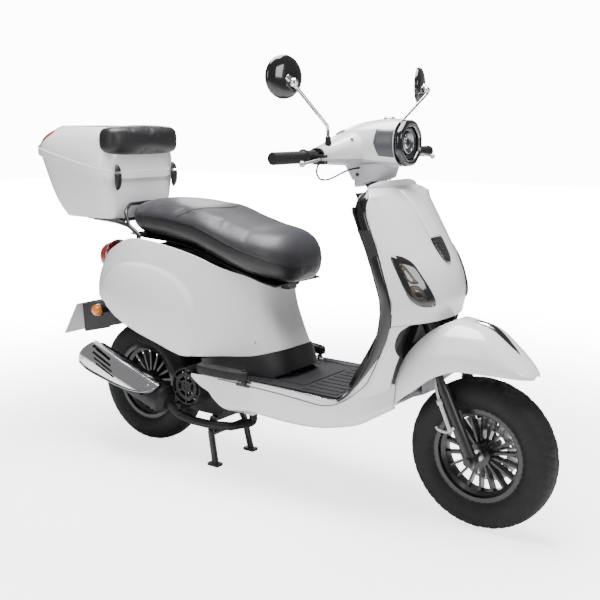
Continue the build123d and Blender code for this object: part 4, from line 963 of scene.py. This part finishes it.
def makeHeadSkirt():
    # lower end of the handlebar cover around the steering column
    rings = []
    for i in range(12):
        t = i / 11
        ring = []
        for c, n in turns(40):
            along = bowed(c, 0.55)
            x = 932 - 4 * t + (58 - 8 * t) * along
            y = (66 - 8 * t) * bowed(n, 0.6)
            bottom = 962 + 16 * along
            ring.append(at(x, y, 1018 + (bottom - 1018) * t))
        rings.append(ring)
    verts, faces = skinned(rings)
    newPiece("headSkirt", verts, faces, "greyPlastic", "steering")
    for y, z in ((-62.5, 985), (62.5, 985)):
        turned("skirtScrewHole" + ("Right" if y < 0 else "Left"), [(-1, 5), (0.6, 5), (0.8, 4), (0, 0.4)],
               at(905, y, z), (0, y, 0), "glossBlack", "steering", steps=20)


def makeHornCover():
    # raised middle strip with a slot at its top and the dark grille at its foot
    verts, rows, columns = [], 70, 25
    for i in range(rows):
        z = 812 + (948 - 812) * i / (rows - 1)
        half = 34 + 5 * math.sin(math.pi * i / (rows - 1))
        for j in range(columns):
            v = -1 + 2 * j / (columns - 1)
            y = half * v
            rise = 7.5 * (1 - abs(v) ** 10) * min(1, i / 3.0, (rows - 1 - i) / 3.0)
            verts.append(at(shieldFace(y, z) + 0.6 + rise * 0.86, y, z + rise * 0.5))
    cover = newPiece("hornCoverSkin", verts, gridFaces(rows, columns), "whitePaint", "chassis",
                     ["horn_cover"])
    addSolid(cover, 0.0018)
    plate(
        "hornSlot", [(-15, 938), (15, 938), (17, 930), (15, 915), (-15, 915), (-17, 930)], 8.4,
        "glossBlack", rise=1.2)
    plate(
        "hornGrille", [(-31, 815), (-16, 820), (0, 821.5), (16, 820), (31, 815), (28, 780), (20, 758),
                       (8, 748), (-8, 748), (-20, 758), (-28, 780)],
        2.0, "smokeLens", rise=4.0, nodes=["horn_grille"])
    for k in range(5):
        z = 768 + 9 * k
        wide = 17 + 1.7 * k
        plate("grilleBar%d" % k, [(-wide, z), (wide, z), (wide, z + 3), (-wide, z + 3)], 6.3, "glossBlack",
              rise=1.2)


def shieldFace(y, z):
    middle, wide = between(shield["levels"], z)
    edge = min(between(shield["back"], z)[0] + shield["band"] + 2.2, middle - 25)
    share = 1 - (min(abs(y) / wide, 1)) ** 2.15
    return edge + (middle - edge) * max(share, 0) ** 0.86


def plate(name, outline, lift, finish, rise=3.0, nodes=(), steps=5):
    # a thin moulding that follows the shield inside an outline given across and up
    loop = [Vector((y, z)) for y, z in outline]
    loop = smoothLoop(loop, steps) if steps > 1 else loop
    centre = sum(loop, Vector((0, 0))) / len(loop)
    verts, rings = [], 7
    for k in range(rings):
        share = (1 - k / (rings - 1)) if k < rings - 1 else 0.0
        for p in loop:
            q = centre + (p - centre) * (share if k else 1.0)
            verts.append(at(shieldFace(q.x, q.y) + lift + (rise * 0.35 if k == 0 else rise), q.x, q.y))
    base = []
    for p in loop:
        base.append(at(shieldFace(p.x, p.y) + lift - 2.4, p.x, p.y))
    verts = base + verts
    count = len(loop)
    faces = gridFaces(rings + 1, count, wrapColumns=True)
    faces.append(tuple(range(count)))
    return newPiece(name, verts, faces, finish, "chassis", nodes)


signal = {
    # across and up, for the lens on the rider's left; mirrored for the right
    "lens": [(177, 774), (160, 778), (143, 769), (132, 755), (120, 718), (98, 662), (94, 644), (104, 638),
             (137, 642), (162, 660), (172, 690), (177, 733)],
    "lampHigh": [(168, 757), (157, 750), (146, 720), (139, 706), (158, 706), (168, 730)],
    "lampInner": [(167, 744), (160, 742), (150, 712), (160, 711), (168, 728)],
    "lampLow": [(164, 698), (140, 697), (124, 666), (134, 657), (156, 663)],
    "lampCore": [(154, 688), (144, 688), (135, 670), (141, 665), (152, 669)],
}


def makeSignals():
    for side, name in bothSides:
        outline = [(side * y, z) for y, z in signal["lens"]]
        plate("signalLens" + name, outline, 2.4, "smokeLens", rise=3.0,
              nodes=["turn_signals"] if side < 0 else ())
        plate("signalLampHigh" + name, [(side * y, z) for y, z in signal["lampHigh"]], 5.2, "lampBronze",
              rise=0.7)
        plate("signalLampInner" + name, [(side * y, z) for y, z in signal["lampInner"]], 5.8, "smokeLens",
              rise=0.7)
        plate("signalLampLow" + name, [(side * y, z) for y, z in signal["lampLow"]], 5.2, "lampBronze",
              rise=0.7)
        plate("signalLampCore" + name, [(side * y, z) for y, z in signal["lampCore"]], 5.8, "smokeLens",
              rise=0.7)
        turned(
            "rearSignal" + name, [(0, 0.5), (0, 21), (6, 22), (14, 21), (24, 18), (30, 12), (32, 0.5)],
            at(-166, side * 93, 469),
            (-0.25, side, 0.06), "amberLens", "chassis", steps=28)
        turned("rearSignalRim" + name, [(0, 16), (0, 23), (4, 23.6), (8, 23), (8, 16)],
               at(-166, side * 91.4, 469), (-0.25, side, 0.06), "satinBlack", "chassis", steps=28)


makeShield()
archShape()
makeShieldTrim()
makeSideSweep()
makeShieldTop()
makeHeadSkirt()
makeHornCover()
makeSignals()
print("leg shield ready")

# front mudguard

mudguard = {
    "wall": 0.0024,
    # place, half width, lower edge, ridge
    "stations": [
        (1082, 137, 352, 520), (1107, 136, 374, 552), (1145, 133, 404, 580), (1180, 128, 434, 590),
        (1210, 121, 452, 596), (1256, 110, 467, 591), (1318, 96, 468, 575), (1373, 80, 465, 533),
        (1415, 60, 461, 494), (1440, 34, 457, 470), (1446, 18, 456, 463),
    ],
    "rearEdge": [(350, 1083), (412, 1083), (495, 1107), (569, 1169), (600, 1224)],
}


def guardPoint(x, a):
    # a runs from 0 at the right edge over the ridge to pi at the left edge
    half, low, high = between(mudguard["stations"], x)
    c, s = math.cos(a), math.sin(a)
    y = half * bowed(c, 0.80)
    z = low + (high - low) * abs(s) ** 0.74
    return at(x, y, z)


def makeMudguard():
    rows, columns = 90, 65
    verts = []
    for i in range(rows):
        t = i / (rows - 1)
        for j in range(columns):
            a = math.pi * j / (columns - 1)
            high = math.sin(a)
            startX = 1083
            for _ in range(8):
                z = guardPoint(startX, a).z / mm
                startX = max(1083, between(mudguard["rearEdge"], min(max(z, 350), 600))[0])
            x = startX + (1446 - startX) * (1 - (1 - t) ** 1.15)
            verts.append(guardPoint(x, a))
    guard = newPiece("frontMudguard", verts, gridFaces(rows, columns), "whitePaint", "steering",
                     ["front_fender"])
    addSolid(guard, mudguard["wall"], offset=-1.0)
    ornament = []
    for i in range(26):
        t = i / 25
        x = 1262 + 132 * t
        high = between(mudguard["stations"], x)[2]
        wide = 15.5 * math.sin(math.pi * min(t * 0.86 + 0.14, 1)) ** 0.7 * (1 - t * 0.35) + 1.2
        tall = 6.5 * math.sin(math.pi * t) ** 0.7 + 1.5
        ornament.append([at(x, wide * c, high + 0.6 + tall * n) for c, n in turns(16)])
    verts, faces = skinned(ornament)
    newPiece("guardOrnament", verts, faces, "darkChrome", "steering")
    verts, faces = skinned([[p + Vector((0, 0, 0.0010)) for p in ring] for ring in ornament[:10]])
    newPiece("guardOrnamentTip", verts, faces, "chrome", "steering")


makeMudguard()
print("mudguard ready")

# laid-on mouldings


def decal(name, targets, centre, right, up, outline, finish, body, lift=0.4, thickness=1.2, nodes=(),
          steps=4, rings=8, crown=0.0):
    # a thin piece that follows the surface met by rays from a flat outline
    right, up = Vector(right).normalized(), Vector(up).normalized()
    aim = up.cross(right)
    trees = [BVHTree.FromObject(target, bpy.context.evaluated_depsgraph_get()) for target in targets]
    loop = [Vector(p) for p in outline]
    if steps > 1:
        loop = smoothLoop(loop, steps)
    else:
        loop = [p + (q - p) * k / 9 for p, q in zip(loop, loop[1:] + loop[:1]) for k in range(9)]
    middle = sum(loop, Vector((0, 0))) / len(loop)
    base, top = [], []
    reach = 0.1
    for k in range(rings + 1):
        share = 1 - k / rings
        for p in loop:
            q = middle + (p - middle) * share
            start = at(*centre) + right * q.x * mm + up * q.y * mm
            best = None
            for tree in trees:
                hit, normal, index, distance = tree.ray_cast(start, aim)
                if hit is not None and (best is None or distance < best[2]):
                    best = (hit, normal, distance)
            if best is None:
                hit, normal = start + aim * reach, -aim
            else:
                hit, normal = best[0], best[1] if best[1].dot(aim) < 0 else -best[1]
                reach = best[2]
            if k == 0:
                base.append(hit - normal * 0.0008)
            height = lift + thickness * (0.55 if k == 0 else 1.0) + crown * (1 - share ** 2)
            top.append(hit + normal * height * mm)
    count = len(loop)
    verts = base + top
    faces = gridFaces(rings + 2, count, wrapColumns=True)
    faces.append(tuple(range(count)))
    return newPiece(name, verts, faces, finish, body, nodes)


def screwTree():
    tree = newTree("screwHeads", (("radius", 0.004), ("depth", 0.0024)), "metal")
    nodes, link = tree.nodes, tree.links.new
    source, target = nodes.new("NodeGroupInput"), nodes.new("NodeGroupOutput")
    head = nodes.new("GeometryNodeMeshCylinder")
    head.inputs["Vertices"].default_value = 18
    slot = nodes.new("GeometryNodeMeshCylinder")
    slot.inputs["Vertices"].default_value = 6
    slot.inputs["Depth"].default_value = 0.0028
    slot.inputs["Radius"].default_value = 0.0018
    both = nodes.new("GeometryNodeMeshBoolean")
    both.operation = "DIFFERENCE"
    lift = nodes.new("GeometryNodeTransform")
    lift.inputs["Translation"].default_value = (0, 0, 0.0012)
    stand = nodes.new("GeometryNodeInstanceOnPoints")
    turn = nodes.new("FunctionNodeAlignRotationToVector")
    turn.axis = "Z"
    direction = nodes.new("GeometryNodeInputNamedAttribute")
    direction.data_type = "FLOAT_VECTOR"
    direction.inputs["Name"].default_value = "outward"
    realize = nodes.new("GeometryNodeRealizeInstances")
    paint = nodes.new("GeometryNodeSetMaterial")
    toPoints = nodes.new("GeometryNodeMeshToPoints")
    link(source.outputs["radius"], head.inputs["Radius"])
    link(source.outputs["depth"], head.inputs["Depth"])
    link(slot.outputs["Mesh"], lift.inputs["Geometry"])
    link(head.outputs["Mesh"], both.inputs["Mesh 1"])
    link(lift.outputs["Geometry"], both.inputs["Mesh 2"])
    link(source.outputs["Geometry"], toPoints.inputs["Mesh"])
    link(toPoints.outputs["Points"], stand.inputs["Points"])
    link(both.outputs["Mesh"], stand.inputs["Instance"])
    link(direction.outputs["Attribute"], turn.inputs["Vector"])
    link(turn.outputs["Rotation"], stand.inputs["Rotation"])
    link(stand.outputs["Instances"], realize.inputs["Geometry"])
    link(realize.outputs["Geometry"], paint.inputs["Geometry"])
    link(source.outputs["metal"], paint.inputs["Material"])
    link(paint.outputs["Geometry"], target.inputs["Geometry"])
    return tree


screwNodes = screwTree()


def screwSet(name, spots, body, finish="turnedSteel", radius=4.0, depth=2.4):
    # spots are (place, outward direction)
    mesh = bpy.data.meshes.new(name)
    mesh.from_pydata([tuple(at(*place)) for place, outward in spots], [], [])
    facing = mesh.attributes.new("outward", "FLOAT_VECTOR", "POINT")
    for item, (place, outward) in zip(facing.data, spots):
        item.vector = Vector(outward).normalized()
    piece = bpy.data.objects.new(name, mesh)
    bpy.context.collection.objects.link(piece)
    heads = piece.modifiers.new("heads", "NODES")
    heads.node_group = screwNodes
    setInput(heads, screwNodes, "radius", radius * mm)
    setInput(heads, screwNodes, "depth", depth * mm)
    setInput(heads, screwNodes, "metal", material[finish])
    applied(piece)
    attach(piece, body)
    return piece


# headlight

lamp = {"frontX": 1038.0, "height": 1074.0, "radius": 64.0}


def octagonRing(name, profile, finish, body, corner=0.85, steps=96, nodes=()):
    # profile of (place along the lamp, radius); corner blends circle into octagon
    rings = []
    for x, r in profile:
        ring = []
        for j in range(steps):
            a = 2 * math.pi * j / steps
            local = (a + math.pi / 8) % (math.pi / 4) - math.pi / 8
            share = math.cos(math.pi / 8) / math.cos(local) * 1.035
            k = r * (1 + (min(share, 0.992) - 1) * corner)
            ring.append(at(lamp["frontX"] + x, k * math.sin(a), lamp["height"] + k * math.cos(a)))
        rings.append(ring)
    verts, faces = looped(rings)
    return newPiece(name, verts, faces, finish, body, nodes)


def makeHeadlight():
    r = lamp["radius"]
    octagonRing(
        "headlightBezel", [(-14, r + 3), (-2, r + 3.2), (5, r), (8, r - 5), (8, r - 9), (3, r - 12),
                           (-6, r - 13), (-14, r - 12)],
        "glossBlack", "steering", nodes=["headlight"])
    octagonRing("headlightInner", [(4.6, r - 10), (6.4, r - 12), (5.0, r - 15.5), (-2, r - 16.5),
                                   (-2, r - 12)], "lampSilver", "steering", corner=0.95)
    octagonRing("headlightPanel", [(-3, r - 16), (-1.5, r - 22), (-6, r - 30), (-12, r - 34), (-14, r - 34),
                                   (-14, r - 14)], "smokeLens", "steering")
    centre = at(lamp["frontX"], 0, lamp["height"])
    turned("headlightRing", [(-13, 31), (-3, 31), (0, 28.5), (-1, 25), (-13, 24)], centre, (1, 0, 0),
           "lampSilver", "steering", closedProfile=True)
    turned("headlightBowl", [(-4, 25), (-8, 18), (-13, 9), (-14, 0.4), (-15.5, 0.4), (-15.5, 26)], centre,
           (1, 0, 0), "chrome", "steering")
    turned("headlightProjector", [(-12, 17), (-7, 17), (-3.5, 13), (-1.0, 7), (-0.4, 0.4)], centre,
           (1, 0, 0), "dialGlass", "steering")
    turned("headlightProjectorRim", [(-13, 20), (-6, 20), (-4.6, 18.4), (-6, 16.8), (-13, 16.8)], centre,
           (1, 0, 0), "lampSilver", "steering", closedProfile=True)
    upper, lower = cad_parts["headset_upper"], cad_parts["headset_lower"]
    for side, name in bothSides:
        decal(
            "headsetPanel" + name, [upper, lower], (1002, side * 200, 1076), (-side, 0, 0), (0, 0, 1),
            [(-side * -30, 37), (-side * 20, 35), (-side * 21, -40), (-side * -22, -36), (-side * -34, 0)],
            "headGrey", "steering", lift=0.2, thickness=1.0, steps=1)
    turned("headsetCap", [(-3, 17), (1, 17), (4, 14), (5.4, 8), (5.6, 0.4)], at(972, 0, 1142.6),
           (0.05, 0, 1), "chrome", "steering")
    turned("headsetScrewHole", [(-1, 5), (0.8, 5), (1.0, 4.2), (0.0, 0.4)], at(918, -112, 1086),
           (0.35, -0.25, 1), "glossBlack", "steering", steps=20)


def makeInstruments():
    centre, axis = at(834.5, 0, 1102), Vector((-0.316, 0, 0.949))
    turned("dialRim", [(-4, 39), (5, 39), (7.5, 36.5), (6, 34), (-1, 34)], centre, axis, "chrome",
           "steering", nodes=["speedometer"], closedProfile=True)
    turned("dialFace", [(0.0, 34.5), (1.5, 34.5), (1.6, 0.4)], centre, axis, "glossBlack", "steering")
    turned("dialCover", [(4.4, 34.2), (5.6, 30), (6.6, 15), (6.9, 0.4)], centre, axis, "clearCover",
           "steering")
    across = axis.cross(Vector((0, 1, 0))).normalized()
    marks, faces = [], []
    for k in range(25):
        a = math.radians(-130 + 260 * k / 24)
        along = across * math.cos(a) + Vector((0, 1, 0)) * math.sin(a)
        side = axis.cross(along)
        near, far, wide = (0.025, 0.031, 0.0007) if k % 4 else (0.022, 0.031, 0.0011)
        start = len(marks)
        lift = centre + axis * 0.0019
        marks += [lift + along * near - side * wide, lift + along * far - side * wide,
                  lift + along * far + side * wide, lift + along * near + side * wide]
        faces.append((start, start + 1, start + 2, start + 3))
    ticks = newPiece("dialMarks", marks, faces, "whitePaint", "steering", flat=True)
    addSolid(ticks, 0.0003, offset=0)
    needle = [centre + axis * 0.003 - across * 0.004,
              centre + axis * 0.003 + (across * math.cos(-2.2) + Vector((0, 1, 0)) * math.sin(-2.2)) * 0.026]
    tubePiece("dialNeedle", needle, 0.0008, "redLens", "steering", sides=6)


mirror = {"at": (868.0, 357.0, 1247.0), "turnDeg": 18.0, "radius": 56.0}


def makeMirrors():
    for side, name, body in ((-1, "Right", "right_mirror"), (1, "Left", "left_mirror")):
        x, y, z = mirror["at"]
        turn = math.radians(mirror["turnDeg"])
        back = Vector((math.cos(turn), side * math.sin(turn), 0))
        centre = at(x, side * y, z)
        r = mirror["radius"]
        turned(
            "mirrorShell" + name, [(-7.2, r - 2.6), (-7.6, r - 0.6), (-6, r), (0, r), (4, r - 3),
                                   (9, r - 11), (12.5, r - 24), (14, r - 38), (14.4, 0.4)],
            centre, back, "glossBlack", body,
            nodes=["mirror_head_right" if side < 0 else "mirror_head_left"], steps=64)
        turned("mirrorGlass" + name, [(-8.4, 0.4), (-8.0, r - 8), (-7.3, r - 3), (-6.4, r - 2.6),
                                      (-4, r - 3), (-4, 0.4)], centre, back, "mirrorGlass", body, steps=64)
        ball = at(894, side * 352, 1232)
        knuckle = [ball, ball + (centre - ball) * 0.4 + back * 0.004, centre + back * 0.011]
        tubePiece("mirrorKnuckle" + name, smoothLoop(knuckle, 8, closed=False), 0.0088, "chrome", body,
                  sides=20)
        turned("mirrorCup" + name, [(-11, 5), (-9, 9.6), (-3, 12.2), (4, 12), (9, 9), (11.5, 0.4)], ball,
               centre - ball, "chrome", body, steps=28)
        foot = at(887, side * 184, 1050)
        turned(
            "mirrorBoot" + name, [(-8, 9.6), (2, 9.8), (4, 8.6), (8, 8.6), (10, 9.4), (14, 9.4), (16, 8.4),
                                  (22, 8.4), (24, 9.0), (30, 9.0), (33, 8.2), (40, 8.0), (43, 6.4),
                                  (44, 5.2)],
            foot, (0, 0, 1), "softRubber", "steering", steps=28)


grip = {"inner": 279.0, "outer": 418.0, "barX": 874.0, "barZ": 1040.0, "radius": 17.0}


def makeGrips():
    for side, name, node, body in ((-1, "Right", "throttle_grip", "throttle"),
                                   (1, "Left", "left_grip", "steering")):
        length = grip["outer"] - grip["inner"]
        r = grip["radius"]
        profile = [(0, 12), (0, r + 4.6), (1, r + 5), (4, r + 5), (5, r + 4), (6.5, r)]
        for k in range(22):
            along = 8 + k * 5.4
            profile += [(along, r - 0.9), (along + 1.0, r - 0.1), (along + 4.0, r - 0.1),
                        (along + 5.0, r - 0.9)]
        profile += [(length - 8, r), (length - 2, r), (length, r - 2.5), (length, 0.4)]
        turned("grip" + name, profile, at(grip["barX"], side * grip["inner"], grip["barZ"]), (0, side, 0),
               "softRubber", body, nodes=[node], steps=40)


makeHeadlight()
makeInstruments()
makeMirrors()
makeGrips()
print("steering head ready")

# top case fittings

hinge = {"x": -5.0, "y": 135.0, "z": 949.0, "halfHeight": 44.0, "halfWidth": 14.0, "depth": 16.0}


def makeCaseFittings():
    for side, name in bothSides:
        for low, end, part, body in ((-1.0, 0.2, "Low", "chassis"), (0.3, 1.0, "High", "lid")):
            rings = []
            for i in range(16):
                t = low + (end - low) * i / 15
                high = hinge["z"] + hinge["halfHeight"] * math.sin(t * math.pi / 2)
                swell = max(1 - abs(math.sin(t * math.pi / 2)) ** 2.4, 0.0) ** 0.5
                ring = []
                for j in range(20):
                    a = 2 * math.pi * j / 20
                    ring.append(at(
                        hinge["x"] - 6 + (hinge["depth"] * swell + 0.5) * (0.5 + 0.5 * math.cos(a)),
                        side * hinge["y"] + (hinge["halfWidth"] * swell + 0.4) * math.sin(a), high))
                rings.append(ring)
            verts, faces = skinned(rings)
            newPiece("caseHinge" + part + name, verts, faces, "satinBlack", body)
        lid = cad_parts["topcase_lid"]
        decal(
            "caseReflector" + name, [lid], (-345, side * 300, 1066), (-side, 0, 0), (0, 0, 1),
            [(-side * -54, -30), (-side * -30, -22), (-side * 20, 8), (-side * 56, 36), (-side * 28, 32),
             (-side * -14, 6)], "redLens", "lid",
            lift=0.3, thickness=1.6, steps=3)
    turned("caseLock", [(-4, 13), (4, 13), (6, 11.5), (6, 6), (4.6, 5), (4.6, 0.4)], at(-404, 0, 1030),
           (-1, 0, 0.1), "satinBlack", "lid", steps=32)
    turned("caseLockBarrel", [(0, 5.2), (6.4, 5.2), (7, 4.6), (7, 0.4)], at(-404, 0, 1030), (-1, 0, 0.1),
           "chrome", "lid", steps=24)


def makeTailLamp():
    rings = []
    for i in range(18):
        t = i / 17
        x = -150 - 73 * math.sin(t * math.pi / 2)
        shrink = math.cos(t * math.pi / 2) ** 0.55
        ring = []
        for c, s in turns(40):
            ring.append(at(x - 6 * s * shrink, 60 * shrink * bowed(c, 0.86),
                           656 - 8 * t + 54 * shrink * bowed(s, 0.86)))
        rings.append(ring)
    verts, faces = skinned(rings)
    newPiece("tailLens", verts, faces, "redLens", "chassis", ["tail_light"])
    rim = [at(-158 - 9 * math.sin(a) * 0.5, 62 * math.cos(a),
              656 + 56 * math.sin(a)) for a in [2 * math.pi * j / 60 for j in range(60)]]
    tubePiece("tailLampRim", rim, 0.0034, "chrome", "chassis", sides=10, closed=True)


makeCaseFittings()
makeTailLamp()
print("rear fittings ready")

# wheels

tyre = {"radius": 217.0, "steps": 288, "groove": 2.6}


def makeTyre(name, x, node, body):
    r = tyre["radius"]
    outline = [
        (0, r), (6, r - 0.2), (12, r - 0.7), (18, r - 1.6), (24, r - 3.0), (30, r - 5.4), (36, r - 9.0),
        (41, r - 13.5), (45.5, r - 19.5), (49, r - 27), (51.2, r - 35), (52, r - 44), (51.2, r - 53),
        (48.6, r - 62), (45, r - 70), (41.5, r - 75), (38.4, r - 77.5), (37.4, r - 80), (36.6, r - 84),
        (31, r - 88),
    ]
    profile = [(-y, q) for y, q in outline[1:]][::-1] + outline
    steps, rings = tyre["steps"], []
    for y, q in profile:
        ring = []
        for j in range(steps):
            a = 2 * math.pi * j / steps
            depth = 0.0
            if abs(y) < 46:
                phase = (j / steps * 48 + 0.020 * abs(y) + (0.5 if y > 0 else 0.0)) % 1
                if 8 < abs(y) and phase < 0.17:
                    depth = tyre["groove"]
                if 22 < abs(y) < 31 and int(j / steps * 48 + 0.02 * abs(y)) % 2:
                    depth = max(depth, tyre["groove"] * 0.6)
                if abs(y) < 3:
                    depth = tyre["groove"] * 0.9
            q2 = q - depth
            ring.append(at(x + q2 * math.sin(a), y, 217 + q2 * math.cos(a)))
        rings.append(ring)
    verts, faces = looped(rings)
    newPiece(name, verts, faces, "tyreRubber", body, [node])


makeTyre("frontTyre", 1296, "front_tyre", "front_wheel")
makeTyre("rearTyre", 0, "rear_tyre", "rear_wheel")
print("tyres ready")

# floor, exhaust and small fittings


def makeExhaustTrim():
    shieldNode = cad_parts["heat_shield"]
    spots = []
    tree = BVHTree.FromObject(shieldNode, bpy.context.evaluated_depsgraph_get())
    for x, z in ((-92, 376), (-128, 322), (168, 268)):
        hit, normal, index, distance = tree.ray_cast(at(x, -300, z), Vector((0, 1, 0)))
        if hit is not None:
            spots.append((((hit.x - rearAxleX) / mm, hit.y / mm, hit.z / mm), normal))
    screwSet("heatShieldBolts", spots, "engine", radius=6.0, depth=4.0)
    rim = []
    for x, z in ((-145, 306), (-112, 281), (-36, 264), (60, 248), (150, 245), (200, 259)):
        hit, normal, index, distance = tree.ray_cast(at(x, -300, z + 4), Vector((0, 1, 0)))
        y = hit.y / mm - 1.5 if hit is not None else -196
        rim.append(at(x, y, z + 1))
    tubePiece("heatShieldRim", smoothLoop(rim, 8, closed=False), 0.0028, "lampSilver", "engine", sides=8)


def makeForkStay():
    top = smoothLoop([at(1180, -84, 440), at(1190, -92, 412), at(1203, -97, 380)], 8, closed=False)
    tubePiece("stayUpper", top, 0.0042, "castAlloy", "fork_lower", sides=10)
    turned("stayKnuckle", [(-9, 4), (-7, 8), (7, 8.4), (10, 5)], at(1206, -97.4, 372), (0.42, 0, -0.9),
           "castAlloy", "fork_lower", steps=16)
    lower = smoothLoop([at(1209, -98, 366), at(1226, -99, 330), at(1241, -99, 296)], 8, closed=False)
    tubePiece("stayLower", lower, 0.0055, "castAlloy", "fork_lower", sides=10)
    hook = smoothLoop([at(1241, -99, 297), at(1228, -99, 290), at(1206, -99, 293), at(1198, -99, 301)], 6,
                      closed=False)
    tubePiece("stayHook", hook, 0.0040, "castAlloy", "fork_lower", sides=10)
    arm = [at(1243, -99, 297), at(1252, -95, 306)]
    tubePiece("stayFoot", arm, 0.0045, "castAlloy", "fork_lower", sides=10)


def makeFootrests():
    for side, name in bothSides:
        flat = [(604, 197), (606, 215), (560, 233), (500, 236), (440, 233), (410, 215), (424, 201),
                (500, 197), (570, 195)]
        loop = smoothLoop([Vector((x, side * y)) for x, y in flat], 8)
        centre = sum(loop, Vector((0, 0))) / len(loop)
        rings = []
        for height, share in ((359.5, 0.90), (359, 0.97), (362, 0.998), (372, 1.0), (380, 0.995),
                              (384, 0.965), (385, 0.90)):
            rings.append([at(centre.x + (p.x - centre.x) * share, centre.y + (p.y - centre.y) * share,
                             height) for p in loop])
        verts, faces = skinned(rings)
        newPiece("footPad" + name, verts, faces, "softRubber",
                 "right_footrest" if side < 0 else "left_footrest",
                 ["footrest_right" if side < 0 else "footrest_left"])


def makeBodyDetails():
    makeFootrests()
    screwSet("bodyScrews", [((566, -114, 452), (0.3, -1, 0.05)), ((566, 114, 452), (0.3, 1, 0.05))],
             "chassis", finish="satinBlack", radius=4.0, depth=2.0)
    screwSet("plateBolts", [((-306, -40, 462), (-0.85, 0, 0.5)), ((-306, 40, 462), (-0.85, 0, 0.5))],
             "chassis", radius=5.0, depth=3.0)
    screwSet(
        "caseBolts", [((300 + 57 * math.cos(a), -79, 275 + 57 * math.sin(a)), (0, -1, 0)) for a in (0.6,
                                                             2.6, 4.2, 5.4)], "engine", radius=4.6, depth=4.0)
    screwSet(
        "driveCaseBolts", [((x, 149, z), (0, 1, 0)) for x, z in ((-50, 262), (-44, 172), (60, 154),
                                                  (230, 200), (352, 212), (358, 318), (250, 340), (80, 292))],
        "engine", radius=5.0, depth=4.0)


makeExhaustTrim()
makeForkStay()
makeBodyDetails()
print("trim and fittings ready")
